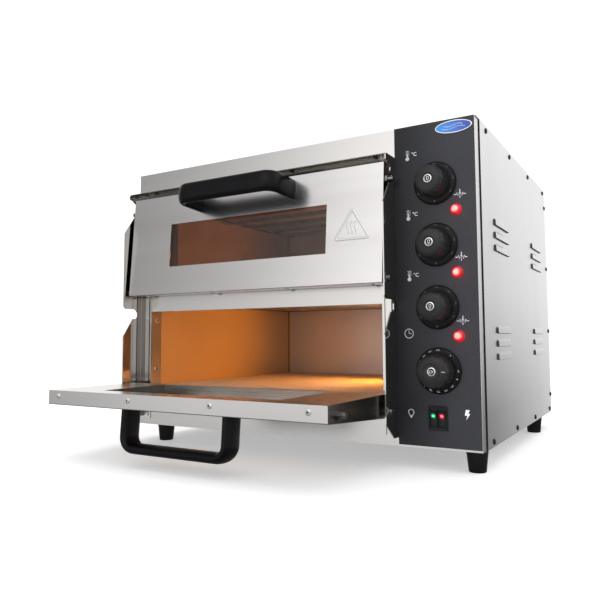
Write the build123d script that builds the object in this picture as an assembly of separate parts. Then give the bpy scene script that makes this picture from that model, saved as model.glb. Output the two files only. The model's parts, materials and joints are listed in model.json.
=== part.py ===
from build123d import *
from math import atan2, cos, sin
import os

os.makedirs("parts", exist_ok=True)

# Countertop double-deck pizza oven, lower door open, upper door closed.
# Millimetres. While modelling, X runs across from the middle of the casing towards the
# controls, Y runs back from the casing's front face, and Z runs up from the surface that
# the feet stand on. save() shifts the result so that the origin is the middle of the
# footprint, open door included.

# ------------------------------------------------------------------ driving dimensions
BODY_W = 560.0
BODY_D = 465.0
BODY_H = 404.0
FOOT_H = 26.0
SHEET = 1.2            # casing sheet
THIN = 1.0             # liner and door sheet

BASE = FOOT_H          # height of the casing's underside, and datum of the lower deck
TOP = BASE + BODY_H
HALF_W = BODY_W / 2
INNER_X = HALF_W - SHEET

DECK_PITCH = 164.0
LOWER_DECK = BASE
UPPER_DECK = BASE + DECK_PITCH
DECKS = {"lower": LOWER_DECK, "upper": UPPER_DECK}

# chamber mouth and liner, heights above the deck's datum
MOUTH_X = (-248.5, 154.5)
SILL = 44.0
MOUTH_TOP = 178.0
MOUTH_RETURN = 21.0
LINER_FLOOR = 33.0
LINER_CEILING = 193.0
LINER_FRONT = 2.0
LINER_BACK = 411.0
STONE = (400.0, 400.0, 15.0)
STONE_TOP = 61.0
STONE_FRONT = 6.0
ROD_R = 3.5
ROD_LOW = 39.5
ROD_HIGH = 185.0

# doors, heights above the deck's datum
DOOR_X = -49.25
DOOR_W = 435.0
DOOR_LOW = 38.0
DOOR_TOP = 193.6
DOOR_BACK_Y = -2.2
DOOR_FRONT_LOW_Y = -32.3
DOOR_FRONT_TOP_Y = -21.3
HINGE_Y = -23.5
HINGE_Z = 44.6
LATCH_Y = -14.0
LATCH_Z = 171.7
WINDOW_W = 273.4
WINDOW_V = (42.3, 108.6)
GLASS_T = 4.0
GLASS_LAP = 9.0
RECESS_HALF_W = 142.5
RECESS_Z = (50.0, 166.0)
OPEN_ANGLE = 90.0

HANDLE_W = 174.0
HANDLE_V = (122.4, 151.0)
HANDLE_REACH = 55.0
HANDLE_THICK = 13.0
HANDLE_BEND = 21.0
HANDLE_EDGE = 5.5

# hinge plates
PLATE_T = 1.5
PLATE_SPAN = 445.5
PLATE_REACH = -38.5
POST_T = 1.2

# control side
FASCIA_X = (174.6, 278.2)
FASCIA_T = 1.0
KNOB_X = 228.2
KNOB_PITCH = 77.0
TIMER_Z = BASE + 94.2
KNOB_R = 27.0
TIMER_R = 28.2
SPINDLE_R = 3.0
LAMP_X = 253.8
LAMP_DROP = 35.2
ROCKER_X = 225.8
ROCKER_Z = BASE + 37.2
SHIELD_X = 170.0

# fasteners
HEAD_R = 3.6
HEAD_H = 1.8
PANEL_SCREW_Y = (48.0, 181.0, 314.0, 447.0)
PANEL_SCREW_Z = (BASE + 6.5, BASE + 397.0)
BACK_SCREW_Z = [BASE + 31.0 + 113.5 * n for n in range(4)]
EDGE_SCREW_X = [-198.2 + 130.8 * n for n in range(4)]
EDGE_SCREW_Y = -9.8

FOOT_XY = [(x, y) for x in (-234.0, 266.0) for y in (21.0, 372.0)]
GLAND = (215.0, BASE + 52.0)
GLAND_LENGTH = 12.0

FRONT_REACH = DOOR_TOP - HINGE_Z - HINGE_Y + HEAD_H
REAR_REACH = BODY_D + GLAND_LENGTH
SHIFT_Y = (FRONT_REACH - REAR_REACH) / 2

# smaller sizes of the casing
CORNER_FLANGE = 14.0
RETURN_SCREW_Y = 11.0
RETURN_SCREW_Z = (86.7, 163.8)
FOOT_SCREW_R = 2.5
BACK_SCREW_INSET = 4.2
BACK_SCREW_Y = BODY_D - BACK_SCREW_INSET
BACK_FLANGE = 14.0
LOUVRE_Y = (117.0, 363.0)
LOUVRE_Z = [BASE + middle + 17.0 * n for middle in (127.0, 268.5) for n in (-1, 0, 1)]
LOUVRE_L = 79.0
LOUVRE_R = 5.2
LOUVRE_SINK = 1.7
BACK_SLOTS = 12
BACK_SLOT_X = 184.0
BACK_SLOT_STEP = 7.0
BACK_SLOT_Z = (BASE + 150.0, BASE + 330.0)
GLAND_BODY_R = 8.0
GLAND_BORE_R = 5.0

# chambers: liner, heaters, thermostat bulbs and lamps
LINER_X = (MOUTH_X[0] - SHEET, MOUTH_X[1] + SHEET)
UPPER_LINER_TOP = UPPER_DECK + LINER_CEILING + THIN
LEDGE = 12.0
ROD_Y = [62.0 + 58.0 * n for n in range(6)]
ROD_BEND = 28.0
RODS = {"bottom": LOWER_DECK + ROD_LOW, "middle": UPPER_DECK + ROD_LOW, "top": UPPER_DECK + ROD_HIGH}
ROD_ENDS = [(y, z) for z in RODS.values() for y in (ROD_Y[0], ROD_Y[-1])]
BULB_R = 2.6
BULBS = {"top": (206.0, UPPER_DECK + ROD_HIGH), "middle": (206.0, UPPER_DECK + ROD_LOW),
         "bottom": (206.0, LOWER_DECK + ROD_HIGH)}
LAMP_Y = 306.0
LAMP_UP = 122.0
LAMP_BODY_R = 15.0

# hinge plates, pins and studs
EAR_TOP = BASE + 366.0
NOTCH_Y = -9.9
NOTCH_Z = (166.6, 182.0)
PIN_R = 3.0
STUD_R = 3.5

# door details
TILT = atan2(DOOR_FRONT_TOP_Y - DOOR_FRONT_LOW_Y, DOOR_TOP - DOOR_LOW)
HANDLE_MID_V = sum(HANDLE_V) / 2
HANDLE_LEG_X = (HANDLE_W - HANDLE_THICK) / 2
HANDLE_SCREW_R = 2.0
RECESS_FRONT_Y = -16.4
RETAINER_V = (20.0, 127.0)
RETAINER_SCREW_X = (-120.0, -40.0, 40.0, 120.0)
RETAINER_SCREW_V = (26.0, 122.4)
RETAINER_SCREW_R = 1.6
RETAINER_STUD_END = 10.0

# controls
CONTROL_Y = SHEET + 2.0
SPINDLE_END = 16.0
NOSE_R = 5.0
LAMP_HOLE_R = 5.6
KNOB_Z = {"timer": TIMER_Z}
KNOB_Z.update({name: TIMER_Z + KNOB_PITCH * (n + 1) for n, name in enumerate(("bottom", "middle", "top"))})
ROCKER_BODY = (21.4, 18.0, 26.0)
ROCKER_W = 8.8
ROCKER_CENTRES = (ROCKER_X - 5.3, ROCKER_X + 5.3)
ROCKER_PIVOT_Y = 2.0
ROCKER_AXLE_R = 1.2
ROCKER_TILT = 9.0
HEATERS = ("top", "middle", "bottom")
FRONT_HOLES = [(KNOB_X, z, NOSE_R + 0.2) for z in KNOB_Z.values()]
FRONT_HOLES += [(LAMP_X, KNOB_Z[name] - LAMP_DROP, LAMP_HOLE_R + 0.1) for name in HEATERS]


# ------------------------------------------------------------------ helpers
def block(x, y, z):
    """Box between the two limits given for each axis."""
    size = [b - a for a, b in (x, y, z)]
    middle = [(a + b) / 2 for a, b in (x, y, z)]
    return Pos(*middle) * Box(*size)


def rod_x(y, z, r, x0, x1):
    """Cylinder along X."""
    return Pos((x0 + x1) / 2, y, z) * Rot(0, 90, 0) * Cylinder(r, abs(x1 - x0))


def rod_y(x, z, r, y0, y1):
    """Cylinder along Y."""
    return Pos(x, (y0 + y1) / 2, z) * Rot(90, 0, 0) * Cylinder(r, abs(y1 - y0))


def rod_z(x, y, r, z0, z1):
    """Cylinder along Z."""
    return Pos(x, y, (z0 + z1) / 2) * Cylinder(r, abs(z1 - z0))


def side_profile(points, x0, x1):
    """Solid with an outline in Y and Z, between two planes of X."""
    outline = Polyline(*[(0, y, z) for y, z in points], close=True)
    return Pos(x0, 0, 0) * extrude(make_face(outline), amount=x1 - x0, dir=(1, 0, 0))


def pan_screw(place, toward, depth=6.0):
    """Pan-head screw through the surface at place, its head facing the toward direction."""
    head = Pos(0, 0, HEAD_H / 2) * Cylinder(HEAD_R, HEAD_H)
    head = chamfer(head.faces().sort_by(Axis.Z)[-1].edges(), 0.6)
    shank = Pos(0, 0, -depth / 2) * Cylinder(HEAD_R / 2, depth)
    return Plane(origin=place, z_dir=toward) * (head + shank)


def save(name, *solids):
    """Write one node: one solid, or a group of separate ones."""
    moved = [Pos(0, SHIFT_Y, 0) * s for s in solids]
    shape = moved[0] if len(moved) == 1 else Compound(children=[s.solid() for s in moved])
    shape.label = name
    export_step(shape, f"parts/{name}.step")


# ------------------------------------------------------------------ casing
def front_frame():
    """Stainless front: two chamber mouths with returns, and a flange round each front corner.
    It is narrower than the casing by the two side panels' thickness."""
    sheet = block((-INNER_X, INNER_X), (0, SHEET), (BASE, TOP - SHEET))
    for side in (-1, 1):
        x = sorted((side * INNER_X, side * (INNER_X - SHEET)))
        sheet += block(x, (0, CORNER_FLANGE), (BASE, TOP - SHEET))
    for deck in DECKS.values():
        mouth_z = (deck + SILL, deck + MOUTH_TOP)
        outer_x = (MOUTH_X[0] - SHEET, MOUTH_X[1] + SHEET)
        outer_z = (mouth_z[0] - SHEET, mouth_z[1] + SHEET)
        sheet += block(outer_x, (0, MOUTH_RETURN), outer_z)
        sheet -= block(MOUTH_X, (-1, MOUTH_RETURN + 1), mouth_z)
        for x in MOUTH_X:
            for z in RETURN_SCREW_Z:
                sheet -= rod_x(RETURN_SCREW_Y, deck + z, HEAD_R / 2, x - 3, x + 3)
    for x, z, r in FRONT_HOLES:
        sheet -= rod_y(x, z, r, -1, SHEET + 1)
    return sheet - rocker_cutout()


def rocker_cutout():
    """Opening in the front and the fascia for the rocker switch's body."""
    x = (ROCKER_X - ROCKER_BODY[0] / 2, ROCKER_X + ROCKER_BODY[0] / 2)
    z = (ROCKER_Z - ROCKER_BODY[2] / 2, ROCKER_Z + ROCKER_BODY[2] / 2)
    return block(x, (-3, 5), z)


def control_fascia():
    """Dark control panel laid over the right part of the front."""
    sheet = block(FASCIA_X, (-FASCIA_T, 0), (BASE + 2.5, TOP - 0.6))
    for x, z, r in FRONT_HOLES:
        sheet -= rod_y(x, z, r, -2, 1)
    return sheet - rocker_cutout()


def top_cover():
    sheet = block((-HALF_W, HALF_W), (0, BODY_D), (TOP - SHEET, TOP))
    for side in (-1, 1):
        x = sorted((side * INNER_X, side * (INNER_X - SHEET)))
        flange = block(x, (24, BODY_D - 3 * SHEET), (TOP - 16, TOP - SHEET))
        for y in PANEL_SCREW_Y:
            flange -= rod_x(y, PANEL_SCREW_Z[1], HEAD_R / 2, x[0] - 1, x[1] + 1)
        sheet += flange
    return sheet


def base_plate():
    half = INNER_X - SHEET
    sheet = block((-half, half), (SHEET, BODY_D - SHEET), (BASE, BASE + SHEET))
    for side in (-1, 1):
        x = sorted((side * INNER_X, side * half))
        flange = block(x, (24, BODY_D - 3 * SHEET), (BASE, BASE + 14))
        for y in PANEL_SCREW_Y:
            flange -= rod_x(y, PANEL_SCREW_Z[0], HEAD_R / 2, x[0] - 1, x[1] + 1)
        sheet += flange
    for x, y in FOOT_XY:
        sheet -= rod_z(x, y, FOOT_SCREW_R, BASE - 1, BASE + 3)
    return sheet


def capsule_y(x, y0, y1, z, r):
    """Cylinder along Y with a ball at each end."""
    bar = Pos(x, (y0 + y1) / 2, z) * Rot(90, 0, 0) * Cylinder(r, y1 - y0)
    return bar + Pos(x, y0, z) * Sphere(r) + Pos(x, y1, z) * Sphere(r)


def side_panel(side):
    """Casing side with four groups of three pressed louvres, each open along its lower edge."""
    outer = side * HALF_W
    inner = side * INNER_X
    x = sorted((inner, outer))
    sheet = block(x, (CORNER_FLANGE + 0.8, BODY_D), (BASE, TOP - SHEET))
    for z in BACK_SCREW_Z:
        sheet -= rod_x(BACK_SCREW_Y, z, HEAD_R / 2, x[0] - 1, x[1] + 1)
    for y in PANEL_SCREW_Y:
        for z in PANEL_SCREW_Z:
            sheet -= rod_x(y, z, HEAD_R / 2, x[0] - 1, x[1] + 1)
    core_x = outer - side * LOUVRE_SINK
    for y in LOUVRE_Y:
        for z in LOUVRE_Z:
            ends = (y - LOUVRE_L / 2 + LOUVRE_R, y + LOUVRE_L / 2 - LOUVRE_R)
            shell_r = LOUVRE_R - THIN
            hood = capsule_y(core_x, *ends, z, LOUVRE_R)
            hollow = capsule_y(core_x, *ends, z, shell_r)
            outside = sorted((inner, side * (HALF_W + 10)))
            room = block(outside, (ends[0] - 9, ends[1] + 9), (z - 1.2, z + 9))
            sheet = sheet + (hood & room) - hollow
    return sheet


def back_panel():
    """Rear sheet with two rows of cooling slots, a hole for the cable gland, and a flange inside each side
    panel's rear edge."""
    sheet = block((-INNER_X, INNER_X), (BODY_D - SHEET, BODY_D), (BASE, TOP - SHEET))
    for side in (-1, 1):
        x = sorted((side * INNER_X, side * (INNER_X - SHEET)))
        sheet += block(x, (BODY_D - BACK_FLANGE, BODY_D), (BASE + 16, TOP - 18))
        for z in BACK_SCREW_Z:
            sheet -= rod_x(BACK_SCREW_Y, z, HEAD_R / 2, x[0] - 1, x[1] + 1)
    for z in BACK_SLOT_Z:
        for n in range(BACK_SLOTS):
            x = BACK_SLOT_X + BACK_SLOT_STEP * n
            slot = block((x - 2, x + 2), (BODY_D - 3, BODY_D + 1), (z - 14, z + 14))
            for end in (z - 14, z + 14):
                slot += rod_y(x, end, 2, BODY_D - 3, BODY_D + 1)
            sheet -= slot
    return sheet - rod_y(GLAND[0], GLAND[1], GLAND_BODY_R, BODY_D - 3, BODY_D + 1)


def heat_shield():
    """Wall between the chambers and the wiring compartment."""
    sheet = block((SHIELD_X, SHIELD_X + THIN), (SHEET, BODY_D - SHEET), (BASE + SHEET, TOP - SHEET))
    for deck, name in ((UPPER_DECK, "top"), (UPPER_DECK, "middle"), (LOWER_DECK, "bottom")):
        y, z = BULBS[name]
        sheet -= rod_x(y, z, 3.0, SHIELD_X - 2, SHIELD_X + 3)
    for deck in DECKS.values():
        sheet -= rod_x(LAMP_Y, deck + LAMP_UP, LAMP_BODY_R + 0.3, SHIELD_X - 2, SHIELD_X + 3)
    for y, z in ROD_ENDS:
        sheet -= rod_x(y, z, ROD_R + 0.2, SHIELD_X - 2, SHIELD_X + 3)
    return sheet


def insulation():
    """Mineral wool wrapped over the top, the left side and the back of both chambers."""
    blanket = block((-INNER_X + 7, SHIELD_X - 1), (24, BODY_D - 6), (BASE + 8, TOP - 4))
    chambers = block((LINER_X[0] - THIN, SHIELD_X + 1), (0, LINER_BACK + THIN), (0, UPPER_LINER_TOP))
    clear_front = block((-HALF_W, HALF_W), (0, MOUTH_RETURN + 4), (0, TOP))
    return blanket - chambers - clear_front


# ------------------------------------------------------------------ baking chambers
def chamber(deck):
    """Five-sided steel box with two ledges for the stone and holes for rods, lamp and bulb."""
    x0, x1 = LINER_X
    outside = block((x0 - THIN, x1 + THIN), (LINER_FRONT, LINER_BACK + THIN),
                    (deck + LINER_FLOOR - THIN, deck + LINER_CEILING + THIN))
    shell = outside - block(LINER_X, (0, LINER_BACK), (deck + LINER_FLOOR, deck + LINER_CEILING))
    ledge_z = (deck + STONE_TOP - STONE[2] - 2, deck + STONE_TOP - STONE[2])
    for ledge_x in ((x0, x0 + LEDGE), (x1 - LEDGE, x1)):
        shell += block(ledge_x, (MOUTH_RETURN + 2, LINER_BACK), ledge_z)
    shell -= rod_x(LAMP_Y, deck + LAMP_UP, LAMP_BODY_R, x1 - 1, x1 + 3)
    for y, z in ROD_ENDS:
        shell -= rod_x(y, z, ROD_R, x1 - LEDGE - 1, x1 + 3)
    for y, z in BULBS.values():
        shell -= rod_x(y, z, BULB_R, x1 - LEDGE - 1, x1 + 3)
    for x in MOUTH_X:
        for z in RETURN_SCREW_Z:
            shell -= rod_x(RETURN_SCREW_Y, deck + z, HEAD_R / 2, x - 4, x + 4)
    return shell


def stone(deck):
    width, depth, thick = STONE
    x0 = (LINER_X[0] + LINER_X[1] - width) / 2
    y = (STONE_FRONT, STONE_FRONT + depth)
    slab = block((x0, x0 + width), y, (deck + STONE_TOP - thick, deck + STONE_TOP))
    return chamfer(slab.edges().group_by(Axis.Z)[-1], 1.0)


def heating_element(z):
    """Tubular heater: one rod that crosses the chamber six times, its ends in the right wall."""
    left, right = LINER_X[0] + 26, LINER_X[1] - 34
    tail = SHIELD_X + 12
    route = [(tail, ROD_Y[0], z)]
    for n, y in enumerate(ROD_Y):
        turn = left if n % 2 == 0 else right
        last = n + 1 == len(ROD_Y)
        route += [(tail, y, z)] if last else [(turn, y, z), (turn, ROD_Y[n + 1], z)]
    path = FilletPolyline(*route, radius=ROD_BEND)
    section = Plane(origin=route[0], z_dir=(-1, 0, 0)) * Circle(ROD_R)
    return sweep(section, path=path)


def chamber_lamp(deck):
    """Oven lamp in the right wall: dome of glass inside, lampholder outside."""
    z = deck + LAMP_UP
    x1 = LINER_X[1]
    holder = rod_x(LAMP_Y, z, LAMP_BODY_R, x1, SHIELD_X + 20)
    flange = rod_x(LAMP_Y, z, LAMP_BODY_R + 5, x1 - 2, x1)
    ball_r = 22.0
    ball = Pos(x1 + 6, LAMP_Y, z) * Sphere(ball_r)
    dome = ball & block((x1 - 30, x1 - 1), (LAMP_Y - 30, LAMP_Y + 30), (z - 30, z + 30))
    return holder + flange + dome


# ------------------------------------------------------------------ hinge plates
def hinge_plate(side):
    """Angle bracket: a post on the front face, and a plate whose notches take the latch studs."""
    inner_x = DOOR_X + side * (PLATE_SPAN / 2 - PLATE_T / 2)
    outer_x = inner_x + side * PLATE_T
    low, reach = BASE + 11.0, PLATE_REACH
    outline = [(0, low), (-13, low), (reach, low + 20)]
    for deck in DECKS.values():
        foot_z, head_z = deck + NOTCH_Z[0], deck + NOTCH_Z[1]
        outline += [(reach, deck + 138.0), (-19, foot_z), (NOTCH_Y - 3, foot_z), (NOTCH_Y, foot_z + 3),
                    (NOTCH_Y, head_z - 5), (NOTCH_Y - 5, head_z)]
        outline += [(reach + 4, head_z), (reach, head_z + 4)] if deck == LOWER_DECK else []
    outline += [(-14, UPPER_DECK + 186.5), (-24, UPPER_DECK + 193.5), (-29, EAR_TOP - 8), (-29, EAR_TOP - 2),
                (-27, EAR_TOP), (0, EAR_TOP)]
    plate = side_profile(outline, *sorted((inner_x, outer_x)))
    post_x = sorted((outer_x, MOUTH_X[0] if side < 0 else MOUTH_X[1]))
    plate += block(post_x, (-POST_T, 0), (BASE + 9, EAR_TOP))
    for deck in DECKS.values():
        plate -= rod_x(HINGE_Y, deck + HINGE_Z, PIN_R + 0.06, inner_x - 3, inner_x + 3)
    return plate


def lintel_strip():
    """Drip strip over the upper door, between the ears of the two hinge plates."""
    half = PLATE_SPAN / 2 - PLATE_T / 2
    shelf = block((DOOR_X - half, DOOR_X + half), (-28, -POST_T), (EAR_TOP - THIN, EAR_TOP))
    leg = block((MOUTH_X[0], MOUTH_X[1]), (-POST_T, 0), (UPPER_DECK + MOUTH_TOP + 3, EAR_TOP))
    joint = block((MOUTH_X[0], MOUTH_X[1]), (-POST_T - 1, 0), (EAR_TOP - THIN, EAR_TOP))
    return shelf + leg + joint


# ------------------------------------------------------------------ doors
def door_face(deck):
    """Plane of the door's outer skin: its X across, its Y up the skin, its Z outwards."""
    return Plane(origin=(DOOR_X, DOOR_FRONT_LOW_Y, deck + DOOR_LOW), x_dir=(1, 0, 0),
                 z_dir=(0, -cos(TILT), sin(TILT)))


def on_face(deck, x, v, w):
    """Box in the skin's own plane, between the limits given for each direction."""
    size = [b - a for a, b in (x, v, w)]
    middle = [(a + b) / 2 for a, b in (x, v, w)]
    return door_face(deck) * Pos(*middle) * Box(*size)


def door_skin(deck):
    """Outer door shell: tilted face with the window, and returns on all four edges."""
    low, top = deck + DOOR_LOW, deck + DOOR_TOP
    back, front_low, front_top = DOOR_BACK_Y, DOOR_FRONT_LOW_Y, DOOR_FRONT_TOP_Y
    half = DOOR_W / 2
    outline = [(back, low + 3), (back - 3, low), (front_low, low), (front_top, top), (back, top)]
    wedge = side_profile(outline, DOOR_X - half, DOOR_X + half)
    wedge = fillet(wedge.edges().filter_by(Axis.X).sort_by(Axis.Y)[:2], 1.2)
    step = THIN / cos(TILT)
    slope = (front_top - front_low) / (top - low)
    hollow = side_profile([(back + 5, low + THIN), (front_low + step + slope * THIN, low + THIN),
                           (front_top + step - slope * THIN, top - THIN), (back + 5, top - THIN)],
                          DOOR_X - half + THIN, DOOR_X + half - THIN)
    shell = wedge - hollow
    shell -= on_face(deck, (-WINDOW_W / 2, WINDOW_W / 2), WINDOW_V, (-3, 3))
    for x in EDGE_SCREW_X:
        shell -= rod_z(DOOR_X + x, EDGE_SCREW_Y, HEAD_R / 2, low - 1, top + 1)
    for side in (-1, 1):
        x = sorted((DOOR_X + side * (half - 3), DOOR_X + side * (half + 1)))
        shell -= rod_x(HINGE_Y, deck + HINGE_Z, PIN_R, *x)
        shell -= rod_x(LATCH_Y, deck + LATCH_Z, STUD_R, *x)
    for x in (-HANDLE_LEG_X, HANDLE_LEG_X):
        shell -= door_face(deck) * Pos(x, HANDLE_MID_V, 0) * Cylinder(HANDLE_SCREW_R, 8)
    return shell


def door_liner(deck):
    """Inner door panel with a deep recess round the window and flanges under the shell's returns."""
    low, top = deck + DOOR_LOW, deck + DOOR_TOP
    back = DOOR_BACK_Y
    x = (DOOR_X - DOOR_W / 2 + THIN, DOOR_X + DOOR_W / 2 - THIN)
    recess_z = [deck + z for z in RECESS_Z]
    recess_x = (DOOR_X - RECESS_HALF_W, DOOR_X + RECESS_HALF_W)
    sheet = block(x, (back - THIN, back), (low + 3, top - THIN))
    sheet += block(x, (-17, back), (top - 2 * THIN, top - THIN))
    lower_flange = block(x, (-28, back - 3), (low + THIN, low + 2 * THIN))
    sheet += lower_flange + block(x, (back - 3 - THIN, back - 3), (low + THIN, low + 4))
    sheet += block(x, (back - 3 - THIN, back), (low + 3, low + 4))
    sheet += block([recess_x[0] - THIN, recess_x[1] + THIN], (RECESS_FRONT_Y, back),
                   (recess_z[0] - THIN, recess_z[1] + THIN))
    sheet -= block(recess_x, (RECESS_FRONT_Y - 1, back + 1), recess_z)
    for edge_x in EDGE_SCREW_X:
        sheet -= rod_z(DOOR_X + edge_x, EDGE_SCREW_Y, HEAD_R / 2, top - 4, top)
        sheet -= rod_z(DOOR_X + edge_x, EDGE_SCREW_Y, HEAD_R / 2, low, low + 3)
    return sheet


def door_glass(deck):
    half = WINDOW_W / 2 + GLASS_LAP
    v = (WINDOW_V[0] - GLASS_LAP, WINDOW_V[1] + GLASS_LAP)
    return on_face(deck, (-half, half), v, (-THIN - GLASS_T, -THIN))


def glass_retainer(deck):
    """Frame behind the glass that clamps it to the skin."""
    half = WINDOW_W / 2 + 1.5
    w = (-THIN - GLASS_T - THIN, -THIN - GLASS_T)
    frame = on_face(deck, (-half - 18, half + 18), RETAINER_V, w)
    frame -= on_face(deck, (-half, half), (WINDOW_V[0] - 1.5, WINDOW_V[1] + 1.5), (w[0] - 1, w[1] + 1))
    for x in RETAINER_SCREW_X:
        for v in RETAINER_SCREW_V:
            frame -= door_face(deck) * Pos(x, v, w[0]) * Cylinder(RETAINER_SCREW_R, 6)
    return frame


def door_handle(deck):
    """Moulded bow handle: flat oval bar with two legs, square to the skin."""
    half = HANDLE_W / 2
    bow = Pos(0, HANDLE_REACH / 2) * RectangleRounded(HANDLE_W, HANDLE_REACH, HANDLE_BEND)
    bow += Pos(0, HANDLE_REACH / 4) * Rectangle(HANDLE_W, HANDLE_REACH / 2)
    inside = HANDLE_REACH - HANDLE_THICK
    opening = HANDLE_W - 2 * HANDLE_THICK
    gap = Pos(0, inside / 2) * RectangleRounded(opening, inside, HANDLE_BEND - HANDLE_THICK)
    gap += Pos(0, inside / 4) * Rectangle(opening, inside / 2)
    height = HANDLE_V[1] - HANDLE_V[0]
    solid = extrude(bow - gap, amount=height / 2, both=True)
    ends = solid.faces().filter_by(Axis.Z)
    rim = [e for f in ends for e in f.edges() if e.center().Y > 0.5]
    solid = fillet(rim, HANDLE_EDGE)
    for x in (-HANDLE_LEG_X, HANDLE_LEG_X):
        solid -= Pos(x, 8, 0) * Rot(90, 0, 0) * Cylinder(HANDLE_SCREW_R, 20)
    return door_face(deck) * Pos(0, HANDLE_MID_V, 0) * Rot(90, 0, 0) * solid


def door_screws(deck):
    """Edge screws, window nuts on their studs, and handle screws: all separate solids."""
    low, top = deck + DOOR_LOW, deck + DOOR_TOP
    screws = []
    for x in EDGE_SCREW_X:
        screws.append(pan_screw((DOOR_X + x, EDGE_SCREW_Y, top), (0, 0, 1), 5.0))
        screws.append(pan_screw((DOOR_X + x, EDGE_SCREW_Y, low), (0, 0, -1), 5.0))
    face = door_face(deck)
    back = -THIN - GLASS_T - THIN
    for x in RETAINER_SCREW_X:
        for v in RETAINER_SCREW_V:
            length = RETAINER_STUD_END - THIN
            stud = face * Pos(x, v, -THIN - length / 2) * Cylinder(RETAINER_SCREW_R, length)
            nut = face * Pos(x, v, back - 1.6) * extrude(RegularPolygon(3.9, 6), amount=1.6, both=True)
            screws.append(stud + nut)
    for x in (-HANDLE_LEG_X, HANDLE_LEG_X):
        shank = face * Pos(x, HANDLE_MID_V, 5.5) * Cylinder(HANDLE_SCREW_R, 13 + 2 * THIN)
        head = face * Pos(x, HANDLE_MID_V, -THIN - 1.2) * Cylinder(4.2, 2.4)
        screws.append(shank + head)
    return screws


def door_pins(deck):
    """Two hinge pins and two latch studs, one of each in both ends of the door."""
    pins = []
    half = DOOR_W / 2
    plate = PLATE_SPAN / 2
    for side in (-1, 1):
        end = DOOR_X + side * half
        inner = DOOR_X + side * (plate - PLATE_T / 2)
        outer = inner + side * PLATE_T
        y, z = HINGE_Y, deck + HINGE_Z
        pin = rod_x(y, z, PIN_R, end - side * 6, outer + side * 1.0)
        pin += rod_x(y, z, 5.0, end, inner - side * 0.4)
        pin += rod_x(y, z, 4.6, outer + side * 0.3, outer + side * 2.5)
        pins.append(pin)
        y, z = LATCH_Y, deck + LATCH_Z
        stud = rod_x(y, z, STUD_R, end - side * 6, outer + side * 4)
        hexagon = extrude(RegularPolygon(6.2, 6), amount=1.4, both=True)
        stud += Pos(end + side * 1.4, y, z) * Rot(0, 90, 0) * hexagon
        pins.append(stud)
    return pins


def place_door(deck, solids):
    """Leave the upper door closed and swing the lower door open about its hinge axis."""
    if deck == UPPER_DECK:
        return solids
    hinge = Axis((0, HINGE_Y, deck + HINGE_Z), (1, 0, 0))
    return [s.rotate(hinge, OPEN_ANGLE) for s in solids]


# ------------------------------------------------------------------ controls
def knob(z, skirt_r):
    """Control knob: bevelled skirt, tapered grip and domed end, bored for its spindle."""
    y = -FASCIA_T - 0.6
    grip_r = 19.0
    profile = [(0, y), (skirt_r, y), (skirt_r, y - 1.4), (skirt_r - 1.8, y - 3.4), (grip_r, y - 3.8),
               (grip_r - 1.9, y - 26.2), (grip_r - 4.2, y - 28.2), (0, y - 29.2)]
    outline = Polyline(*[(r, yy, 0) for r, yy in profile], close=True)
    body = revolve(make_face(outline), axis=Axis.Y)
    body -= rod_y(0, 0, SPINDLE_R, y - 18, y + 1)
    return Pos(KNOB_X, 0, z) * body


def spindle(z):
    return rod_y(KNOB_X, z, SPINDLE_R, -FASCIA_T - 0.6 - 18, SPINDLE_END)


def control_body(z, size):
    """Switch body behind the panel, with a threaded nose round the spindle."""
    sx, sy, sz = size
    x = (KNOB_X - sx / 2, KNOB_X + sx / 2)
    body = block(x, (CONTROL_Y, CONTROL_Y + sy), (z - sz / 2, z + sz / 2))
    body += rod_y(KNOB_X, z, NOSE_R, -FASCIA_T, CONTROL_Y)
    return body - rod_y(KNOB_X, z, SPINDLE_R + 0.06, -3, SPINDLE_END + 0.6)


def thermostat(name, z):
    """Capillary thermostat: switch body, thin tube, and the sensing bulb in the chamber wall."""
    body = control_body(z, (36, 30, 40))
    bulb_y, bulb_z = BULBS[name]
    start = (KNOB_X, CONTROL_Y + 28, z)
    route = [start, (KNOB_X, bulb_y, z), (KNOB_X, bulb_y, bulb_z), (SHIELD_X - 11, bulb_y, bulb_z)]
    path = FilletPolyline(*route, radius=6.5)
    tube = sweep(Plane(origin=start, z_dir=(0, 1, 0)) * Circle(1.3), path=path)
    bulb = rod_x(bulb_y, bulb_z, BULB_R, SHIELD_X - 8, LINER_X[1] - 29)
    return body + tube + bulb


def indicator(z):
    """Round signal lamp: bezel, domed lens and a body through the panel."""
    x = LAMP_X
    bezel = rod_y(x, z, 7.4, -FASCIA_T - 1.6, -FASCIA_T)
    ball = Pos(x, -FASCIA_T + 2.6, z) * Sphere(8.2)
    lens = ball & block((x - 9, x + 9), (-FASCIA_T - 8, -FASCIA_T - 1), (z - 9, z + 9))
    return bezel + lens + rod_y(x, z, LAMP_HOLE_R, -FASCIA_T, 22)


def rocker_housing():
    """Frame and body of the twin rocker switch, with one well for each rocker."""
    x, z = ROCKER_X, ROCKER_Z
    bezel = block((x - 12, x + 12), (-FASCIA_T - 2, -FASCIA_T), (z - 14.4, z + 14.4))
    bezel = chamfer(bezel.edges().group_by(Axis.Y)[0], 0.8)
    half_w, depth, half_h = ROCKER_BODY[0] / 2, ROCKER_BODY[1], ROCKER_BODY[2] / 2
    body = bezel + block((x - half_w, x + half_w), (-FASCIA_T, depth), (z - half_h, z + half_h))
    for centre in ROCKER_CENTRES:
        well = (centre - ROCKER_W / 2 - 0.4, centre + ROCKER_W / 2 + 0.4)
        body -= block(well, (-4, 15), (z - 11.6, z + 11.6))
        body -= rod_x(ROCKER_PIVOT_Y, z, ROCKER_AXLE_R + 0.05, well[0] - 0.3, well[1] + 0.3)
    return body


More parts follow.
